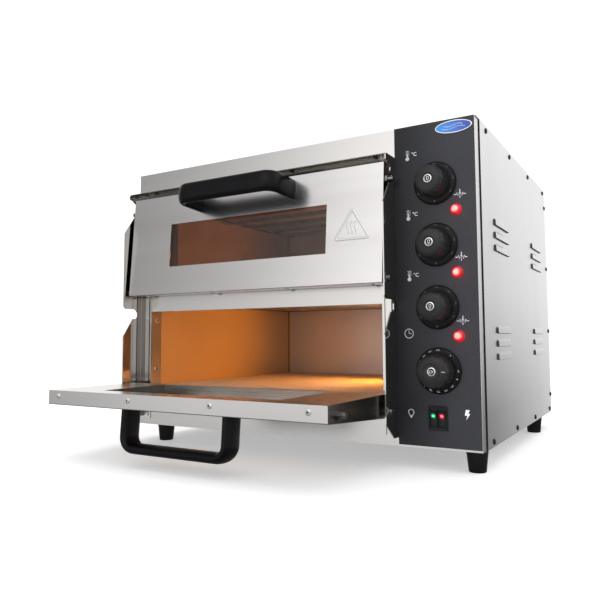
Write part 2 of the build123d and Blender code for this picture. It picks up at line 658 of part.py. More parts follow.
def rocker(centre):
    """Rocker with a shallow valley between its two faces, lying over to its ON side."""
    outline = [(-6.2, 9.4), (-4.4, 0), (-6.2, -9.4), (2.0, -9.0), (5.0, -2.6), (5.0, 2.6), (2.0, 9.0)]
    x0, x1 = centre - ROCKER_W / 2, centre + ROCKER_W / 2
    body = side_profile([(ROCKER_PIVOT_Y + y, ROCKER_Z + z) for y, z in outline], x0, x1)
    body += rod_x(ROCKER_PIVOT_Y, ROCKER_Z, ROCKER_AXLE_R, x0 - 0.65, x1 + 0.65)
    return body.rotate(Axis((0, ROCKER_PIVOT_Y, ROCKER_Z), (1, 0, 0)), ROCKER_TILT)


def badge():
    """Plain oval plate near the top corner of the control panel."""
    plate = extrude(Ellipse(23.4, 8.2), amount=1.2)
    return Pos(253.0, -FASCIA_T, TOP - 11.0) * Rot(90, 0, 0) * plate


# ------------------------------------------------------------------ electrical inlet, feet, screws
def cable_gland():
    """Cord inlet in the back panel: collar outside, thread and nut inside."""
    x, z = GLAND
    body = rod_y(x, z, GLAND_BODY_R, BODY_D - 12, BODY_D)
    body += rod_y(x, z, 13.0, BODY_D, BODY_D + 5) + rod_y(x, z, 9.6, BODY_D + 5, BODY_D + GLAND_LENGTH)
    hexagon = extrude(RegularPolygon(13.5, 6), amount=2.5, both=True)
    nut = Pos(x, BODY_D - SHEET - 2.5, z) * Rot(90, 0, 0) * hexagon
    return body + nut - rod_y(x, z, GLAND_BORE_R, BODY_D - 14, BODY_D + GLAND_LENGTH + 1)


def terminal_block():
    x0, y0, z0 = 195.0, 392.0, BASE + SHEET
    body = block((x0, x0 + 54), (y0, y0 + 28), (z0, z0 + 8))
    body += block((x0 + 6, x0 + 48), (y0 + 6, y0 + 22), (z0, z0 + 24))
    for n in range(3):
        body -= rod_z(x0 + 13 + 14 * n, y0 + 14, 3.0, z0 + 12, z0 + 25)
    return body


def foot(x, y):
    """Tapered rubber foot with a recess for its screw head."""
    cone = Pos(x, y, FOOT_H / 2) * Cone(10.6, 13.2, FOOT_H)
    cone -= rod_z(x, y, 6.0, -1, 9)
    return cone - rod_z(x, y, FOOT_SCREW_R, 8, FOOT_H + 1)


def foot_screw(x, y):
    head = rod_z(x, y, 5.2, 6, 9)
    nut = Pos(x, y, BASE + SHEET) * extrude(RegularPolygon(5.2, 6), amount=4)
    return head + rod_z(x, y, FOOT_SCREW_R, 9, BASE + SHEET + 6) + nut


def panel_screws():
    screws = []
    for side in (-1, 1):
        for y in PANEL_SCREW_Y:
            for z in PANEL_SCREW_Z:
                screws.append(pan_screw((side * HALF_W, y, z), (side, 0, 0)))
        for z in BACK_SCREW_Z:
            screws.append(pan_screw((side * HALF_W, BACK_SCREW_Y, z), (side, 0, 0)))
    return screws


def mouth_screws():
    screws = []
    for deck in DECKS.values():
        for x, side in ((MOUTH_X[0], 1), (MOUTH_X[1], -1)):
            for z in RETURN_SCREW_Z:
                screws.append(pan_screw((x, RETURN_SCREW_Y, deck + z), (side, 0, 0), 4.0))
    return screws


# ------------------------------------------------------------------ write every node
save("front_frame", front_frame())
save("control_fascia", control_fascia())
save("top_cover", top_cover())
save("base_plate", base_plate())
save("side_panel_left", side_panel(-1))
save("side_panel_right", side_panel(1))
save("back_panel", back_panel())
save("heat_shield", heat_shield())
save("insulation", insulation())
save("hinge_plate_left", hinge_plate(-1))
save("hinge_plate_right", hinge_plate(1))
save("lintel_strip", lintel_strip())

for level, deck in DECKS.items():
    save(f"{level}_chamber", chamber(deck))
    save(f"{level}_stone", stone(deck))
    save(f"{level}_lamp", chamber_lamp(deck))
    door = {"skin": [door_skin(deck)], "liner": [door_liner(deck)], "glass": [door_glass(deck)],
            "retainer": [glass_retainer(deck)], "handle": [door_handle(deck)],
            "screws": door_screws(deck), "pins": door_pins(deck)}
    for piece, solids in door.items():
        save(f"{level}_door_{piece}", *place_door(deck, solids))

for name in HEATERS:
    save(f"{name}_element", heating_element(RODS[name]))
    save(f"{name}_thermostat", thermostat(name, KNOB_Z[name]))
    save(f"{name}_knob", knob(KNOB_Z[name], KNOB_R))
    save(f"{name}_spindle", spindle(KNOB_Z[name]))
    save(f"{name}_indicator", indicator(KNOB_Z[name] - LAMP_DROP))

save("timer", control_body(KNOB_Z["timer"], (52, 40, 52)))
save("timer_knob", knob(KNOB_Z["timer"], TIMER_R))
save("timer_spindle", spindle(KNOB_Z["timer"]))
save("rocker_housing", rocker_housing())
save("light_rocker", rocker(ROCKER_CENTRES[0]))
save("power_rocker", rocker(ROCKER_CENTRES[1]))
save("badge", badge())
save("cable_gland", cable_gland())
save("terminal_block", terminal_block())
save("feet", *[foot(x, y) for x, y in FOOT_XY])
save("foot_screws", *[foot_screw(x, y) for x, y in FOOT_XY])
save("panel_screws", *panel_screws())
save("mouth_screws", *mouth_screws())
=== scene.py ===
import json
import math
import random

import bmesh
import bpy
from mathutils import Matrix, Vector

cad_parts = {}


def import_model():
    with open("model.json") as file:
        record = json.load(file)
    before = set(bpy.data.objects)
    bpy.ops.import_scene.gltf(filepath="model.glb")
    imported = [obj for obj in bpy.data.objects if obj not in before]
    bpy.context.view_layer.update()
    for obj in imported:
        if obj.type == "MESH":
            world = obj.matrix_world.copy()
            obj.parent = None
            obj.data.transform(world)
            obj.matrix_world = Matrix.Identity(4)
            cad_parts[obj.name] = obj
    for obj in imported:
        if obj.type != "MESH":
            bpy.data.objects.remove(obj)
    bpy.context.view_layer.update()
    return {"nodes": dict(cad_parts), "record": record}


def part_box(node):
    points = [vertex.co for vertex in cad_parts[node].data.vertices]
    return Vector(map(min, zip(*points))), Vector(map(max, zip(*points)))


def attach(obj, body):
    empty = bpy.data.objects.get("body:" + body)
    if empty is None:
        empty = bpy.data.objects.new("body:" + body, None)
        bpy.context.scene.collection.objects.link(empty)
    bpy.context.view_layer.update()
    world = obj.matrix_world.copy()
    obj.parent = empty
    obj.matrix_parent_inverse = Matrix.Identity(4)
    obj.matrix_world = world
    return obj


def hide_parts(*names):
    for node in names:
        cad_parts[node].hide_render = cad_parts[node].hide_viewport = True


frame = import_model()
NODES = frame["nodes"]
MM = 0.001
SHEET = 1.2 * MM

# ---- places read from the frame
FASCIA_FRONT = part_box("control_fascia")[0].y
HINGES = {j["child"]: Vector(j["pos_m"]) for j in frame["record"]["behaviour"]["joints"]}
DECK_PITCH = HINGES["upper_door"].z - HINGES["lower_door"].z
SKIN_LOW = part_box("upper_door_skin")[0]
DOOR_LEAN = math.atan2(11.0, 155.6)


def middle(node):
    low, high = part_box(node)
    return (low + high) / 2


# ---- mesh helpers
def add_mesh(name, verts, faces, finish, body, slot, smooth=True):
    """One mesh piece that rides on a body. finish names its material, or a list of them."""
    data = bpy.data.meshes.new(name)
    data.from_pydata([tuple(v) for v in verts], [], faces)
    clean = bmesh.new()
    clean.from_mesh(data)
    bmesh.ops.remove_doubles(clean, verts=clean.verts, dist=1e-6)
    bmesh.ops.recalc_face_normals(clean, faces=clean.faces)
    clean.to_mesh(data)
    clean.free()
    obj = bpy.data.objects.new(name, data)
    bpy.context.scene.collection.objects.link(obj)
    for key in finish if isinstance(finish, list) else [finish]:
        data.materials.append(MATS[key])
    if smooth:
        data.shade_smooth()
        data.set_sharp_from_angle(angle=math.radians(38))
    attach(obj, body)
    return obj


def basis(origin, x_axis, z_axis):
    """Matrix that places a local XYZ frame, from its X and Z directions."""
    x, z = Vector(x_axis).normalized(), Vector(z_axis).normalized()
    y = z.cross(x)
    turn = Matrix((x, y, z)).transposed().to_4x4()
    return Matrix.Translation(Vector(origin)) @ turn


def facing_front(x, y, z):
    """Matrix of a piece on the control panel: local X to the right, Y up, Z out towards the front."""
    return basis((x, y, z), (1, 0, 0), (0, -1, 0))


def lathe(profile, segments=64):
    """Verts and faces of a surface of revolution about local Z. profile is (radius, height) points."""
    verts, faces, rings = [], [], []
    for r, h in profile:
        if r < 1e-7:
            rings.append([len(verts)])
            verts.append(Vector((0, 0, h)))
            continue
        start = len(verts)
        rings.append(list(range(start, start + segments)))
        for n in range(segments):
            a = math.tau * n / segments
            verts.append(Vector((r * math.cos(a), r * math.sin(a), h)))
    for a, b in zip(rings, rings[1:]):
        for n in range(segments):
            m = (n + 1) % segments
            if len(a) == 1 and len(b) > 1:
                faces.append((a[0], b[n], b[m]))
            elif len(b) == 1 and len(a) > 1:
                faces.append((a[n], a[m], b[0]))
            elif len(a) > 1:
                faces.append((a[n], a[m], b[m], b[n]))
    return verts, faces


def corner_arc(before, corner, after, r, steps):
    """Points of the soft curve that takes the place of one corner."""
    to_before = (before - corner).normalized()
    to_after = (after - corner).normalized()
    half = math.acos(max(-1, min(1, to_before.dot(to_after)))) / 2
    back = min(r / math.tan(half), (before - corner).length * 0.49, (after - corner).length * 0.49)
    start, end = corner + to_before * back, corner + to_after * back
    return [start.lerp(corner, t).lerp(corner.lerp(end, t), t) for t in [s / steps for s in range(steps + 1)]]


def loft(verts, count, closed=False):
    """Faces between successive loops of count points, with an end face at either end unless closed."""
    loops = len(verts) // count
    faces = []
    for n in range(loops if closed else loops - 1):
        a, b = n * count, (n + 1) % loops * count
        faces += [(a + k, a + (k + 1) % count, b + (k + 1) % count, b + k) for k in range(count)]
    if not closed:
        faces.append(tuple(reversed(range(count))))
        faces.append(tuple(range(len(verts) - count, len(verts))))
    return faces


def rounded_loop(points, r, steps=5):
    """Closed outline with every corner rounded."""
    out = []
    count = len(points)
    for n in range(count):
        before, corner, after = (Vector(points[(n + k) % count]) for k in (-1, 0, 1))
        out += corner_arc(before, corner, after, r, steps)
    return out


def prism(outline, low, high, bevel=0.0):
    """Verts and faces of a flat outline raised from low to high, its top edge bevelled."""
    count = len(outline)
    centre = sum(outline, Vector((0, 0))) / count
    layers = [(0.0, low), (0.0, high)]
    if bevel:
        layers = [(0.0, low), (0.0, high - bevel), (bevel * 0.3, high - bevel * 0.3), (bevel, high)]
    verts = []
    for inset, height in layers:
        for n, p in enumerate(outline):
            edge = outline[(n + 1) % count] - outline[n - 1]
            normal = Vector((edge.y, -edge.x)).normalized()
            if normal.dot(p - centre) < 0:
                normal = -normal
            q = p - normal * inset
            verts.append(Vector((q.x, q.y, height)))
    return verts, loft(verts, count)


def bar(width, low, high, depth):
    """Thin flat bar along local Y, from low to high."""
    half = width / 2
    return prism([Vector(p) for p in ((-half, low), (half, low), (half, high), (-half, high))], 0, depth)


def turned(angle):
    """Matrix of a turn about local Z."""
    return Matrix.Rotation(angle, 4, "Z")


def shifted(x, y, z):
    """Matrix of a move given in mm."""
    return Matrix.Translation((x * MM, y * MM, z * MM))


def placed(shape, matrix):
    verts, faces = shape
    return [matrix @ v for v in verts], faces


def joined(shapes):
    """Several verts-and-faces shapes as one."""
    verts, faces = [], []
    for v, f in shapes:
        base = len(verts)
        verts += v
        faces += [tuple(i + base for i in face) for face in f]
    return verts, faces


def tube_line(points, radius, closed=False, flat=1.0, sides=10):
    """Tube along points in local XY, its height in Z scaled by flat."""
    count = len(points)
    verts = []
    for n, p in enumerate(points):
        before = points[n - 1] if n or closed else points[n]
        after = points[(n + 1) % count] if n < count - 1 or closed else points[n]
        along = (after - before).normalized()
        across = Vector((-along.y, along.x, 0))
        for k in range(sides):
            a = math.tau * k / sides
            offset = across * math.cos(a) + Vector((0, 0, math.sin(a) * flat))
            verts.append(Vector((p.x, p.y, 0)) + offset * radius)
    return verts, loft(verts, sides, closed)


def points2(*pairs):
    """Flat points or lathe profile points given in mm."""
    return [Vector((a * MM, b * MM)) for a, b in pairs]


def rectangle(half_x, half_y):
    return [(-half_x, -half_y), (half_x, -half_y), (half_x, half_y), (-half_x, half_y)]


def line(pairs, width, closed=False):
    """Raised printed line through points, all in mm."""
    return tube_line(points2(*pairs), width * MM, closed, flat=0.3)


def circle2(r, cx=0.0, cy=0.0, count=36):
    """Points of a circle round (cx, cy)."""
    angles = [math.tau * n / count for n in range(count)]
    return [(cx + r * math.cos(a), cy + r * math.sin(a)) for a in angles]


def islands(node):
    """The separate solids of a CAD group node, each as (verts, faces)."""
    mesh = NODES[node].data
    keys, owner = {}, []
    for v in mesh.vertices:
        key = tuple(round(c * 1e6) for c in v.co)
        owner.append(keys.setdefault(key, len(keys)))
    points = [None] * len(keys)
    for v, k in zip(mesh.vertices, owner):
        points[k] = v.co.copy()
    root = list(range(len(points)))

    def find(a):
        while root[a] != a:
            root[a] = root[root[a]]
            a = root[a]
        return a

    polys = [[owner[i] for i in p.vertices] for p in mesh.polygons]
    for poly in polys:
        for i in poly[1:]:
            root[find(i)] = find(poly[0])
    groups = {}
    for poly in polys:
        groups.setdefault(find(poly[0]), []).append(poly)
    out = []
    for group in groups.values():
        used = sorted({i for f in group for i in f})
        index = {i: n for n, i in enumerate(used)}
        faces = [tuple(index[i] for i in f) for f in group if len(set(f)) == len(f)]
        out.append(([points[i] for i in used], faces))
    return sorted(out, key=lambda s: tuple(round(c, 4) for c in s[0][0]))


def text_shape(words, size, depth):
    """Generic lettering as verts and faces, centred on its own middle."""
    curve = bpy.data.curves.new("words", "FONT")
    curve.body = words
    curve.size = size
    curve.extrude = depth
    curve.align_x = "CENTER"
    curve.align_y = "CENTER"
    holder = bpy.data.objects.new("words", curve)
    data = bpy.data.meshes.new_from_object(holder)
    verts = [v.co.copy() for v in data.vertices]
    faces = [tuple(p.vertices) for p in data.polygons]
    bpy.data.objects.remove(holder)
    bpy.data.curves.remove(curve)
    bpy.data.meshes.remove(data)
    return verts, faces


# ---- light helpers
def add_light(kind, name, place, power, color):
    data = bpy.data.lights.new(name, kind)
    data.energy = power
    data.color = color
    lamp = bpy.data.objects.new(name, data)
    lamp.location = place
    bpy.context.scene.collection.objects.link(lamp)
    return lamp


def point_lamp(lamp, direction):
    """Turn a lamp so that it shines along a direction."""
    lamp.rotation_mode = "QUATERNION"
    lamp.rotation_quaternion = Vector(direction).to_track_quat("-Z", "Y")


# ---- material helpers
class Nodes:
    """Short names for building one node tree."""

    def __init__(self, tree):
        self.tree = tree

    def add(self, kind, **inputs):
        """New node with its input values by name, an underscore standing for a space."""
        node = self.tree.nodes.new("ShaderNode" + kind)
        for name, value in inputs.items():
            node.inputs[name.replace("_", " ")].default_value = value
        return node

    def link(self, a, b):
        self.tree.links.new(a, b)

    def split(self, vector):
        node = self.add("SeparateXYZ")
        self.link(vector, node.inputs["Vector"])
        return [node.outputs[axis] for axis in "XYZ"]

    def span(self, value, start, end, first=0.0, last=1.0, smooth=False):
        """A value mapped from start..end to first..last."""
        node = self.add("MapRange", From_Min=start, From_Max=end, To_Min=first, To_Max=last)
        if smooth:
            node.interpolation_type = "SMOOTHSTEP"
        self.link(value, node.inputs["Value"])
        return node.outputs["Result"]

    def spread(self, fac, low, high):
        return self.span(fac, 0.0, 1.0, low, high)

    def ramp(self, fac, stops):
        node = self.add("ValToRGB")
        elements = node.color_ramp.elements
        while len(elements) < len(stops):
            elements.new(0.5)
        for element, (place, color) in zip(elements, stops):
            element.position = place
            element.color = (*color, 1.0) if isinstance(color, tuple) else (color, color, color, 1.0)
        self.link(fac, node.inputs["Fac"])
        return node.outputs["Color"]

    def blend(self, fac, a, b, mode="MIX"):
        node = self.add("Mix")
        node.data_type = "RGBA"
        node.blend_type = mode
        for socket, value in ((node.inputs[0], fac), (node.inputs[6], a), (node.inputs[7], b)):
            if isinstance(value, (int, float)):
                socket.default_value = value
            elif isinstance(value, tuple):
                socket.default_value = (*value, 1.0)
            else:
                self.link(value, socket)
        return node.outputs[2]

    def multiply(self, a, b):
        return self.blend(1.0, a, b, "MULTIPLY")


class Shader(Nodes):
    """One procedural material. Its texture coordinates are the object's own."""

    def __init__(self, name, color, roughness, metallic=0.0, **sockets):
        self.mat = bpy.data.materials.new(name)
        self.mat.use_nodes = True
        super().__init__(self.mat.node_tree)
        self.bsdf = self.tree.nodes["Principled BSDF"]
        self.set("Base Color", (*color, 1.0))
        self.set("Roughness", roughness)
        self.set("Metallic", metallic)
        for key, value in sockets.items():
            self.set(key.replace("_", " "), value)
        self.coords = self.add("TexCoord").outputs["Object"]

    def set(self, socket, value):
        self.bsdf.inputs[socket].default_value = value

    def noise(self, scale, stretch=(1, 1, 1), detail=4.0, rough=0.55):
        mapping = self.add("Mapping", Scale=stretch)
        self.link(self.coords, mapping.inputs["Vector"])
        node = self.add("TexNoise", Scale=scale, Detail=detail, Roughness=rough)
        self.link(mapping.outputs["Vector"], node.inputs["Vector"])
        return node.outputs["Fac"]

    def cells(self, scale):
        node = self.add("TexVoronoi", Scale=scale)
        self.link(self.coords, node.inputs["Vector"])
        return node.outputs["Distance"]

    def color(self, source):
        self.link(source, self.bsdf.inputs["Base Color"])

    def rough(self, source):
        self.link(source, self.bsdf.inputs["Roughness"])

    def bump(self, height, strength, distance):
        node = self.add("Bump", Strength=strength, Distance=distance)
        self.link(height, node.inputs["Height"])
        self.link(node.outputs["Normal"], self.bsdf.inputs["Normal"])


def towards_floor(s, sheet):
    """The sheet's colour with a painted reflection of a dark ground: darker towards the floor and the front.
    """
    low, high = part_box("side_panel_right")
    _, y, z = s.split(s.coords)
    depth = s.span(y, low.y, high.y, 1.04, 0.34)
    # Painted reflection: the colour falls off towards the bottom and the front of the panel.
    shade = s.ramp(s.span(z, low.z, high.z), [(0.1, 0.84), (0.3, 0.54), (0.5, 0.32), (1.0, 0.02)])
    return s.blend(s.multiply(shade, depth), sheet, (0.0, 0.0, 0.0))


def steel(name, tone, rough, grain="x", streak=0.5, bands=0.0, shaded=False):
    """Brushed stainless sheet. grain is the axis that the marks run along, bands the soft streaks' weight.
    shaded adds a painted reflection of a dark ground.
    """
    s = Shader(name, tone, rough, 1.0)
    stretch = {"x": (2, 420, 420), "y": (420, 2, 420), "z": (420, 420, 2)}[grain]
    marks = s.noise(6.0, stretch, 5.0, 0.65)
    cloud = s.noise(5.0, (1, 1, 1), 3.0)
    darker = tuple(c * (1 - 0.16 * streak) for c in tone)
    brushed = s.blend(s.ramp(marks, [(0.3, 0.0), (0.7, 1.0)]), darker, tone)
    sheet = s.blend(0.35, brushed, s.ramp(cloud, [(0.3, tuple(c * 0.93 for c in tone)), (0.7, tone)]))
    if bands:
        broad = s.noise(1.0, {"x": (0.8, 22, 22), "y": (22, 0.8, 22), "z": (13, 13, 0.5)}[grain], 2.0)
        sheet = s.blend(bands, sheet, s.ramp(broad, [(0.35, 0.0), (0.65, 1.0)]), "OVERLAY")
    s.color(towards_floor(s, sheet) if shaded else sheet)
    s.rough(s.spread(marks, rough - 0.04, rough + 0.05))
    s.bump(marks, 0.14 * streak, 0.00004)
    return s.mat


def plastic(name, color, rough, grain_scale=2200.0, grain=0.1, gloss=0.3):
    """Moulded plastic with a fine spark-eroded grain and faint handling marks."""
    s = Shader(name, color, rough, Specular_IOR_Level=gloss)
    fine = s.noise(grain_scale, (1, 1, 1), 3.0)
    smear = s.noise(38.0)
    lighter = tuple(min(1.0, c * 1.4 + 0.001) for c in color)
    s.color(s.blend(s.ramp(smear, [(0.42, 0.0), (0.75, 1.0)]), color, lighter))
    s.rough(s.spread(smear, rough - 0.05, rough + 0.1))
    s.bump(fine, grain, 0.00005)
    return s.mat


def fascia_paint():
    """Charcoal powder coat with a fine orange-peel grain, with painted shade beside the hinge plate."""
    s = Shader("fascia_paint", (0.03, 0.03, 0.034), 0.4, Specular_IOR_Level=0.3)
    fine = s.noise(1500.0, (1, 1, 1), 4.0, 0.7)
    grain = s.ramp(fine, [(0.35, (0.024, 0.0245, 0.03)), (0.68, (0.05, 0.0515, 0.064))])
    low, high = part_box("control_fascia")
    # Painted shade: darkest at the left edge beside the hinge plate, fading out three quarters of the way
    # across.
    painted_plate_shade = s.span(s.split(s.coords)[0], low.x, low.x + (high.x - low.x) * 0.75, smooth=True)
    s.color(s.blend(painted_plate_shade, s.multiply(grain, (0.28, 0.28, 0.3)), grain))
    s.rough(s.spread(fine, 0.34, 0.52))
    s.bump(fine, 0.3, 0.00012)
    return s.mat


def stone_material():
    """Cordierite slab: pale tan, pitted, with toasted patches."""
    s = Shader("baking_stone", (0.72, 0.6, 0.45), 0.9)
    grit = s.noise(420.0, (1, 1, 1), 5.0, 0.7)
    patch = s.noise(9.0, (1, 1, 1), 5.0, 0.6)
    base = s.ramp(grit, [(0.3, (0.46, 0.37, 0.28)), (0.65, (0.66, 0.57, 0.45))])
    s.color(s.blend(s.ramp(patch, [(0.5, 0.0), (0.78, 0.55)]), base, (0.5, 0.34, 0.2)))
    pits = s.cells(260.0)
    s.bump(s.blend(0.5, s.ramp(pits, [(0.05, 0.0), (0.22, 1.0)]), grit), 0.5, 0.0004)
    return s.mat


def glow(name, color, edge, strength, rough=0.2):
    """Lit plastic lens, brightest where noise inside the moulding gathers the light."""
    s = Shader(name, edge, rough, 0.0, Coat_Weight=0.6, Coat_Roughness=0.08, Emission_Strength=strength)
    cloud = s.noise(160.0, (1, 1, 1), 2.0)
    s.color(s.ramp(cloud, [(0.3, edge), (0.7, color)]))
    s.link(s.ramp(cloud, [(0.25, edge), (0.75, color)]), s.bsdf.inputs["Emission Color"])
    return s.mat


def tinted_glass():
    """Heat-resistant door glass with a brown tint and baked-on haze."""
    s = Shader("door_glass", (0.62, 0.5, 0.42), 0.02, 0.0, Transmission_Weight=1.0, IOR=1.45)
    haze = s.noise(24.0, (1, 1, 1), 5.0)
    s.color(s.ramp(haze, [(0.35, (0.66, 0.54, 0.46)), (0.7, (0.56, 0.45, 0.38))]))
    s.rough(s.spread(haze, 0.0, 0.08))
    return s.mat


def wool_material():
    """Mineral wool: pale yellow fibres that lie in one direction."""
    s = Shader("mineral_wool", (0.75, 0.7, 0.5), 0.95, 0.0, Sheen_Weight=0.3)
    fibres = s.noise(60.0, (9, 1, 3), 6.0, 0.75)
    s.color(s.ramp(fibres, [(0.3, (0.55, 0.5, 0.32)), (0.7, (0.86, 0.82, 0.62))]))
    s.bump(fibres, 0.8, 0.002)
    return s.mat


def heater_material():
    """Oxidised heater sheath, a little brown where it has glowed."""
    s = Shader("heater_sheath", (0.12, 0.1, 0.09), 0.45, 0.85)
    burn = s.noise(70.0, (1, 1, 1), 5.0)
    s.color(s.ramp(burn, [(0.35, (0.07, 0.06, 0.06)), (0.7, (0.26, 0.17, 0.12))]))
    s.rough(s.spread(burn, 0.35, 0.62))
    s.bump(burn, 0.3, 0.0001)
    return s.mat


def chamber_material(level):
    """Chamber lining: satin steel, straw-tinted by heat, its side walls multiplied warmer and less blue, with
    painted shade as a dark line where the back, the left wall and the roof meet.
    """
    s = Shader(f"{level}_lining", (0.6, 0.52, 0.46), 0.32, 0.6)
    low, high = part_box(f"{level}_chamber")
    x, y, z = s.split(s.coords)

    def near(place, wall, inward, width=2.2 * MM):
        """1 up to a place by a wall, then fading to 0. inward is the sign of the way into the chamber."""
        return s.span(place, wall, wall + inward * width, 1.0, 0.0)

    tinted = 4.2 * MM
    sides = [near(x, low.x + tinted, 1, 3 * MM), near(x, high.x - tinted, -1, 3 * MM)]
    back = near(y, high.y - SHEET, -1)
    left = near(x, low.x + SHEET, 1)
    roof = near(z, high.z - SHEET, -1)
    tint = s.noise(4.0, (1, 1, 1.6))
    marks = s.noise(6.0, (2, 4, 240))
    lining = s.ramp(tint, [(0.3, (0.6, 0.53, 0.45)), (0.55, (0.56, 0.5, 0.46)), (0.75, (0.48, 0.44, 0.45))])
    for wall in sides:
        lining = s.blend(wall, lining, s.multiply(lining, (1.08, 0.84, 0.5)))
    # Painted shade: a dark line along the corners of the back, the left wall and the roof.
    for a, b in ((back, left), (back, roof), (left, roof)):
        lining = s.blend(s.multiply(a, b), lining, (0.08, 0.05, 0.035))
    s.color(lining)
    s.rough(s.spread(marks, 0.28, 0.42))
    s.bump(marks, 0.12, 0.0001)
    return s.mat


def badge_material():
    """Blue enamel, lighter towards one end."""
    s = Shader("badge_enamel", (0.02, 0.12, 0.55), 0.2, 0.0, Coat_Weight=0.5, Coat_Roughness=0.05)
    low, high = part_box("badge")
    flow = s.blend(0.2, s.span(s.split(s.coords)[0], low.x, high.x), s.noise(60.0))
    s.color(s.ramp(flow, [(0.25, (0.01, 0.24, 0.72)), (0.8, (0.012, 0.045, 0.42))]))
    return s.mat


MATS = {
    "front": steel("front_steel", (0.7, 0.68, 0.665), 0.24, "x", 0.35, 0.06),
    "door": steel("door_steel", (0.72, 0.7, 0.69), 0.22, "x", 0.4, 0.08),
    # Side steel carries a painted reflection of the ground, darker low down and at the front.
    "side": steel("side_steel_painted_reflection", (0.77, 0.755, 0.77), 0.22, "z", 0.15, 0.05, True),
    "plate": steel("plate_steel", (0.6, 0.58, 0.55), 0.1, "z", 0.4),
    # Darker copy of the plate steel: painted shade on the posts' root band.
    "root": steel("shaded_steel", (0.3, 0.28, 0.27), 0.2, "z", 0.4),
    # Darker copy of the steel for the lintel strip: painted shade on its underside.
    "strip": steel("shaded_strip_steel", (0.36, 0.34, 0.31), 0.14, "x", 0.1),
    # Darker copy of the steel: painted shade on the doors' side faces and window jambs.
    "edge": steel("shaded_edge_steel", (0.2, 0.19, 0.18), 0.25, "x", 0.3),
    # Darker copy of the steel for the door pins: painted shade of the holes they sit in.
    "pin": steel("shaded_pin_steel", (0.3, 0.29, 0.28), 0.2, "x", 0.2),
    # Lighter copy of the door steel: painted highlight on the pressed heat signs.
    "pressing": steel("lit_pressed_steel", (0.93, 0.92, 0.9), 0.5, "x", 0.1),
    # Lighter copy of the screw steel: painted highlight so the door screws look evenly bright.
    "bright_screw": steel("bright_screw", (0.97, 0.96, 0.95), 0.5, "z", 0.2),
    "liner": steel("liner_steel", (0.7, 0.68, 0.65), 0.27, "x", 0.3),
    "galvanised": steel("galvanised", (0.6, 0.61, 0.63), 0.45, "y", 1.0),
    "screw": steel("screw_steel", (0.75, 0.74, 0.73), 0.18, "z", 0.3),
    "upper_lining": chamber_material("upper"),
    "lower_lining": chamber_material("lower"),
    "fascia": fascia_paint(),
    "wool": wool_material(),
    "stone": stone_material(),
    "heater": heater_material(),
    "knob": plastic("knob_plastic", (0.0045, 0.0045, 0.005), 0.26, 2600.0, 0.06, 0.16),
    "grip": plastic("grip_plastic", (0.016, 0.016, 0.017), 0.33, 1800.0, 0.12),
    "handle": plastic("handle_plastic", (0.002, 0.002, 0.003), 0.3, 2200.0, 0.05, 0.17),
    "switch": plastic("switch_plastic", (0.008, 0.008, 0.008), 0.35, 2200.0, 0.08),
    "control": plastic("control_body", (0.09, 0.09, 0.1), 0.5),
    "terminal": plastic("terminal_plastic", (0.8, 0.78, 0.72), 0.5),
    "rubber": plastic("foot_rubber", (0.006, 0.006, 0.006), 0.5, 900.0, 0.25, 0.2),
    "black_screw": plastic("black_screw", (0.009, 0.009, 0.01), 0.32, 3000.0, 0.1),
    "slot": plastic("slot_shadow", (0.012, 0.011, 0.011), 0.7, 900.0, 0.1, 0.1),
    "hood_shade": plastic("hood_shade", (0.05, 0.048, 0.048), 0.6, 900.0, 0.1, 0.15),
    "faint_print": plastic("faint_ink", (0.11, 0.12, 0.15), 0.5, 3000.0, 0.05),
    "print": plastic("print_ink", (0.5, 0.52, 0.56), 0.5, 3000.0, 0.05),
    "bright_print": plastic("bright_ink", (0.82, 0.84, 0.88), 0.45, 3000.0, 0.05),
    "silver": steel("silver_cap", (0.8, 0.8, 0.82), 0.22, "x", 0.4),
    "red_lens": glow("red_lens", (0.62, 0.008, 0.012), (0.34, 0.003, 0.006), 0.3, 0.16),
    "red_ring": glow("red_ring", (0.95, 0.12, 0.12), (0.75, 0.02, 0.03), 0.7, 0.2),
    "red_core": glow("red_core", (1.0, 0.5, 0.47), (1.0, 0.17, 0.16), 0.75),
    "green_light": glow("green_light", (0.2, 1.0, 0.42), (0.05, 0.75, 0.25), 1.3),
    "green_window": glow("green_window", (0.0, 0.22, 0.06), (0.0, 0.1, 0.03), 0.35),
    "red_light": glow("red_light", (1.0, 0.25, 0.3), (0.95, 0.06, 0.1), 1.5),
    "red_window": glow("red_window", (0.5, 0.0, 0.02), (0.28, 0.0, 0.01), 0.45),
    "lamp": glow("lamp_glass", (1.0, 0.62, 0.26), (1.0, 0.46, 0.14), 3.0),
    "glass": tinted_glass(),
    "badge": badge_material(),
}

FINISH = {
    "front": ["front_frame"],
    "strip": ["lintel_strip"],
    "side": ["top_cover", "back_panel"],
    "galvanised": ["base_plate", "heat_shield"],
    "plate": ["hinge_plate_left", "hinge_plate_right"],
    "upper_lining": ["upper_chamber"],
    "lower_lining": ["lower_chamber"],
    "stone": ["upper_stone", "lower_stone"],
    "heater": ["top_element", "middle_element", "bottom_element"],
    "lamp": ["upper_lamp", "lower_lamp"],
    "fascia": ["control_fascia"],
    "wool": ["insulation"],
    "control": ["timer", "top_thermostat", "middle_thermostat", "bottom_thermostat"],
    "terminal": ["terminal_block"],
    "switch": ["cable_gland"],
    "screw": ["foot_screws", "top_spindle", "middle_spindle", "bottom_spindle", "timer_spindle"],
    "door": ["upper_door_skin", "lower_door_skin"],
    "liner": ["upper_door_liner", "lower_door_liner", "upper_door_retainer", "lower_door_retainer"],
    "glass": ["upper_door_glass", "lower_door_glass"],
    "pin": ["upper_door_pins", "lower_door_pins"],
    "handle": ["upper_door_handle", "lower_door_handle"],
}
for finish, names in FINISH.items():
    for node_name in names:
        NODES[node_name].data.materials.clear()
        NODES[node_name].data.materials.append(MATS[finish])


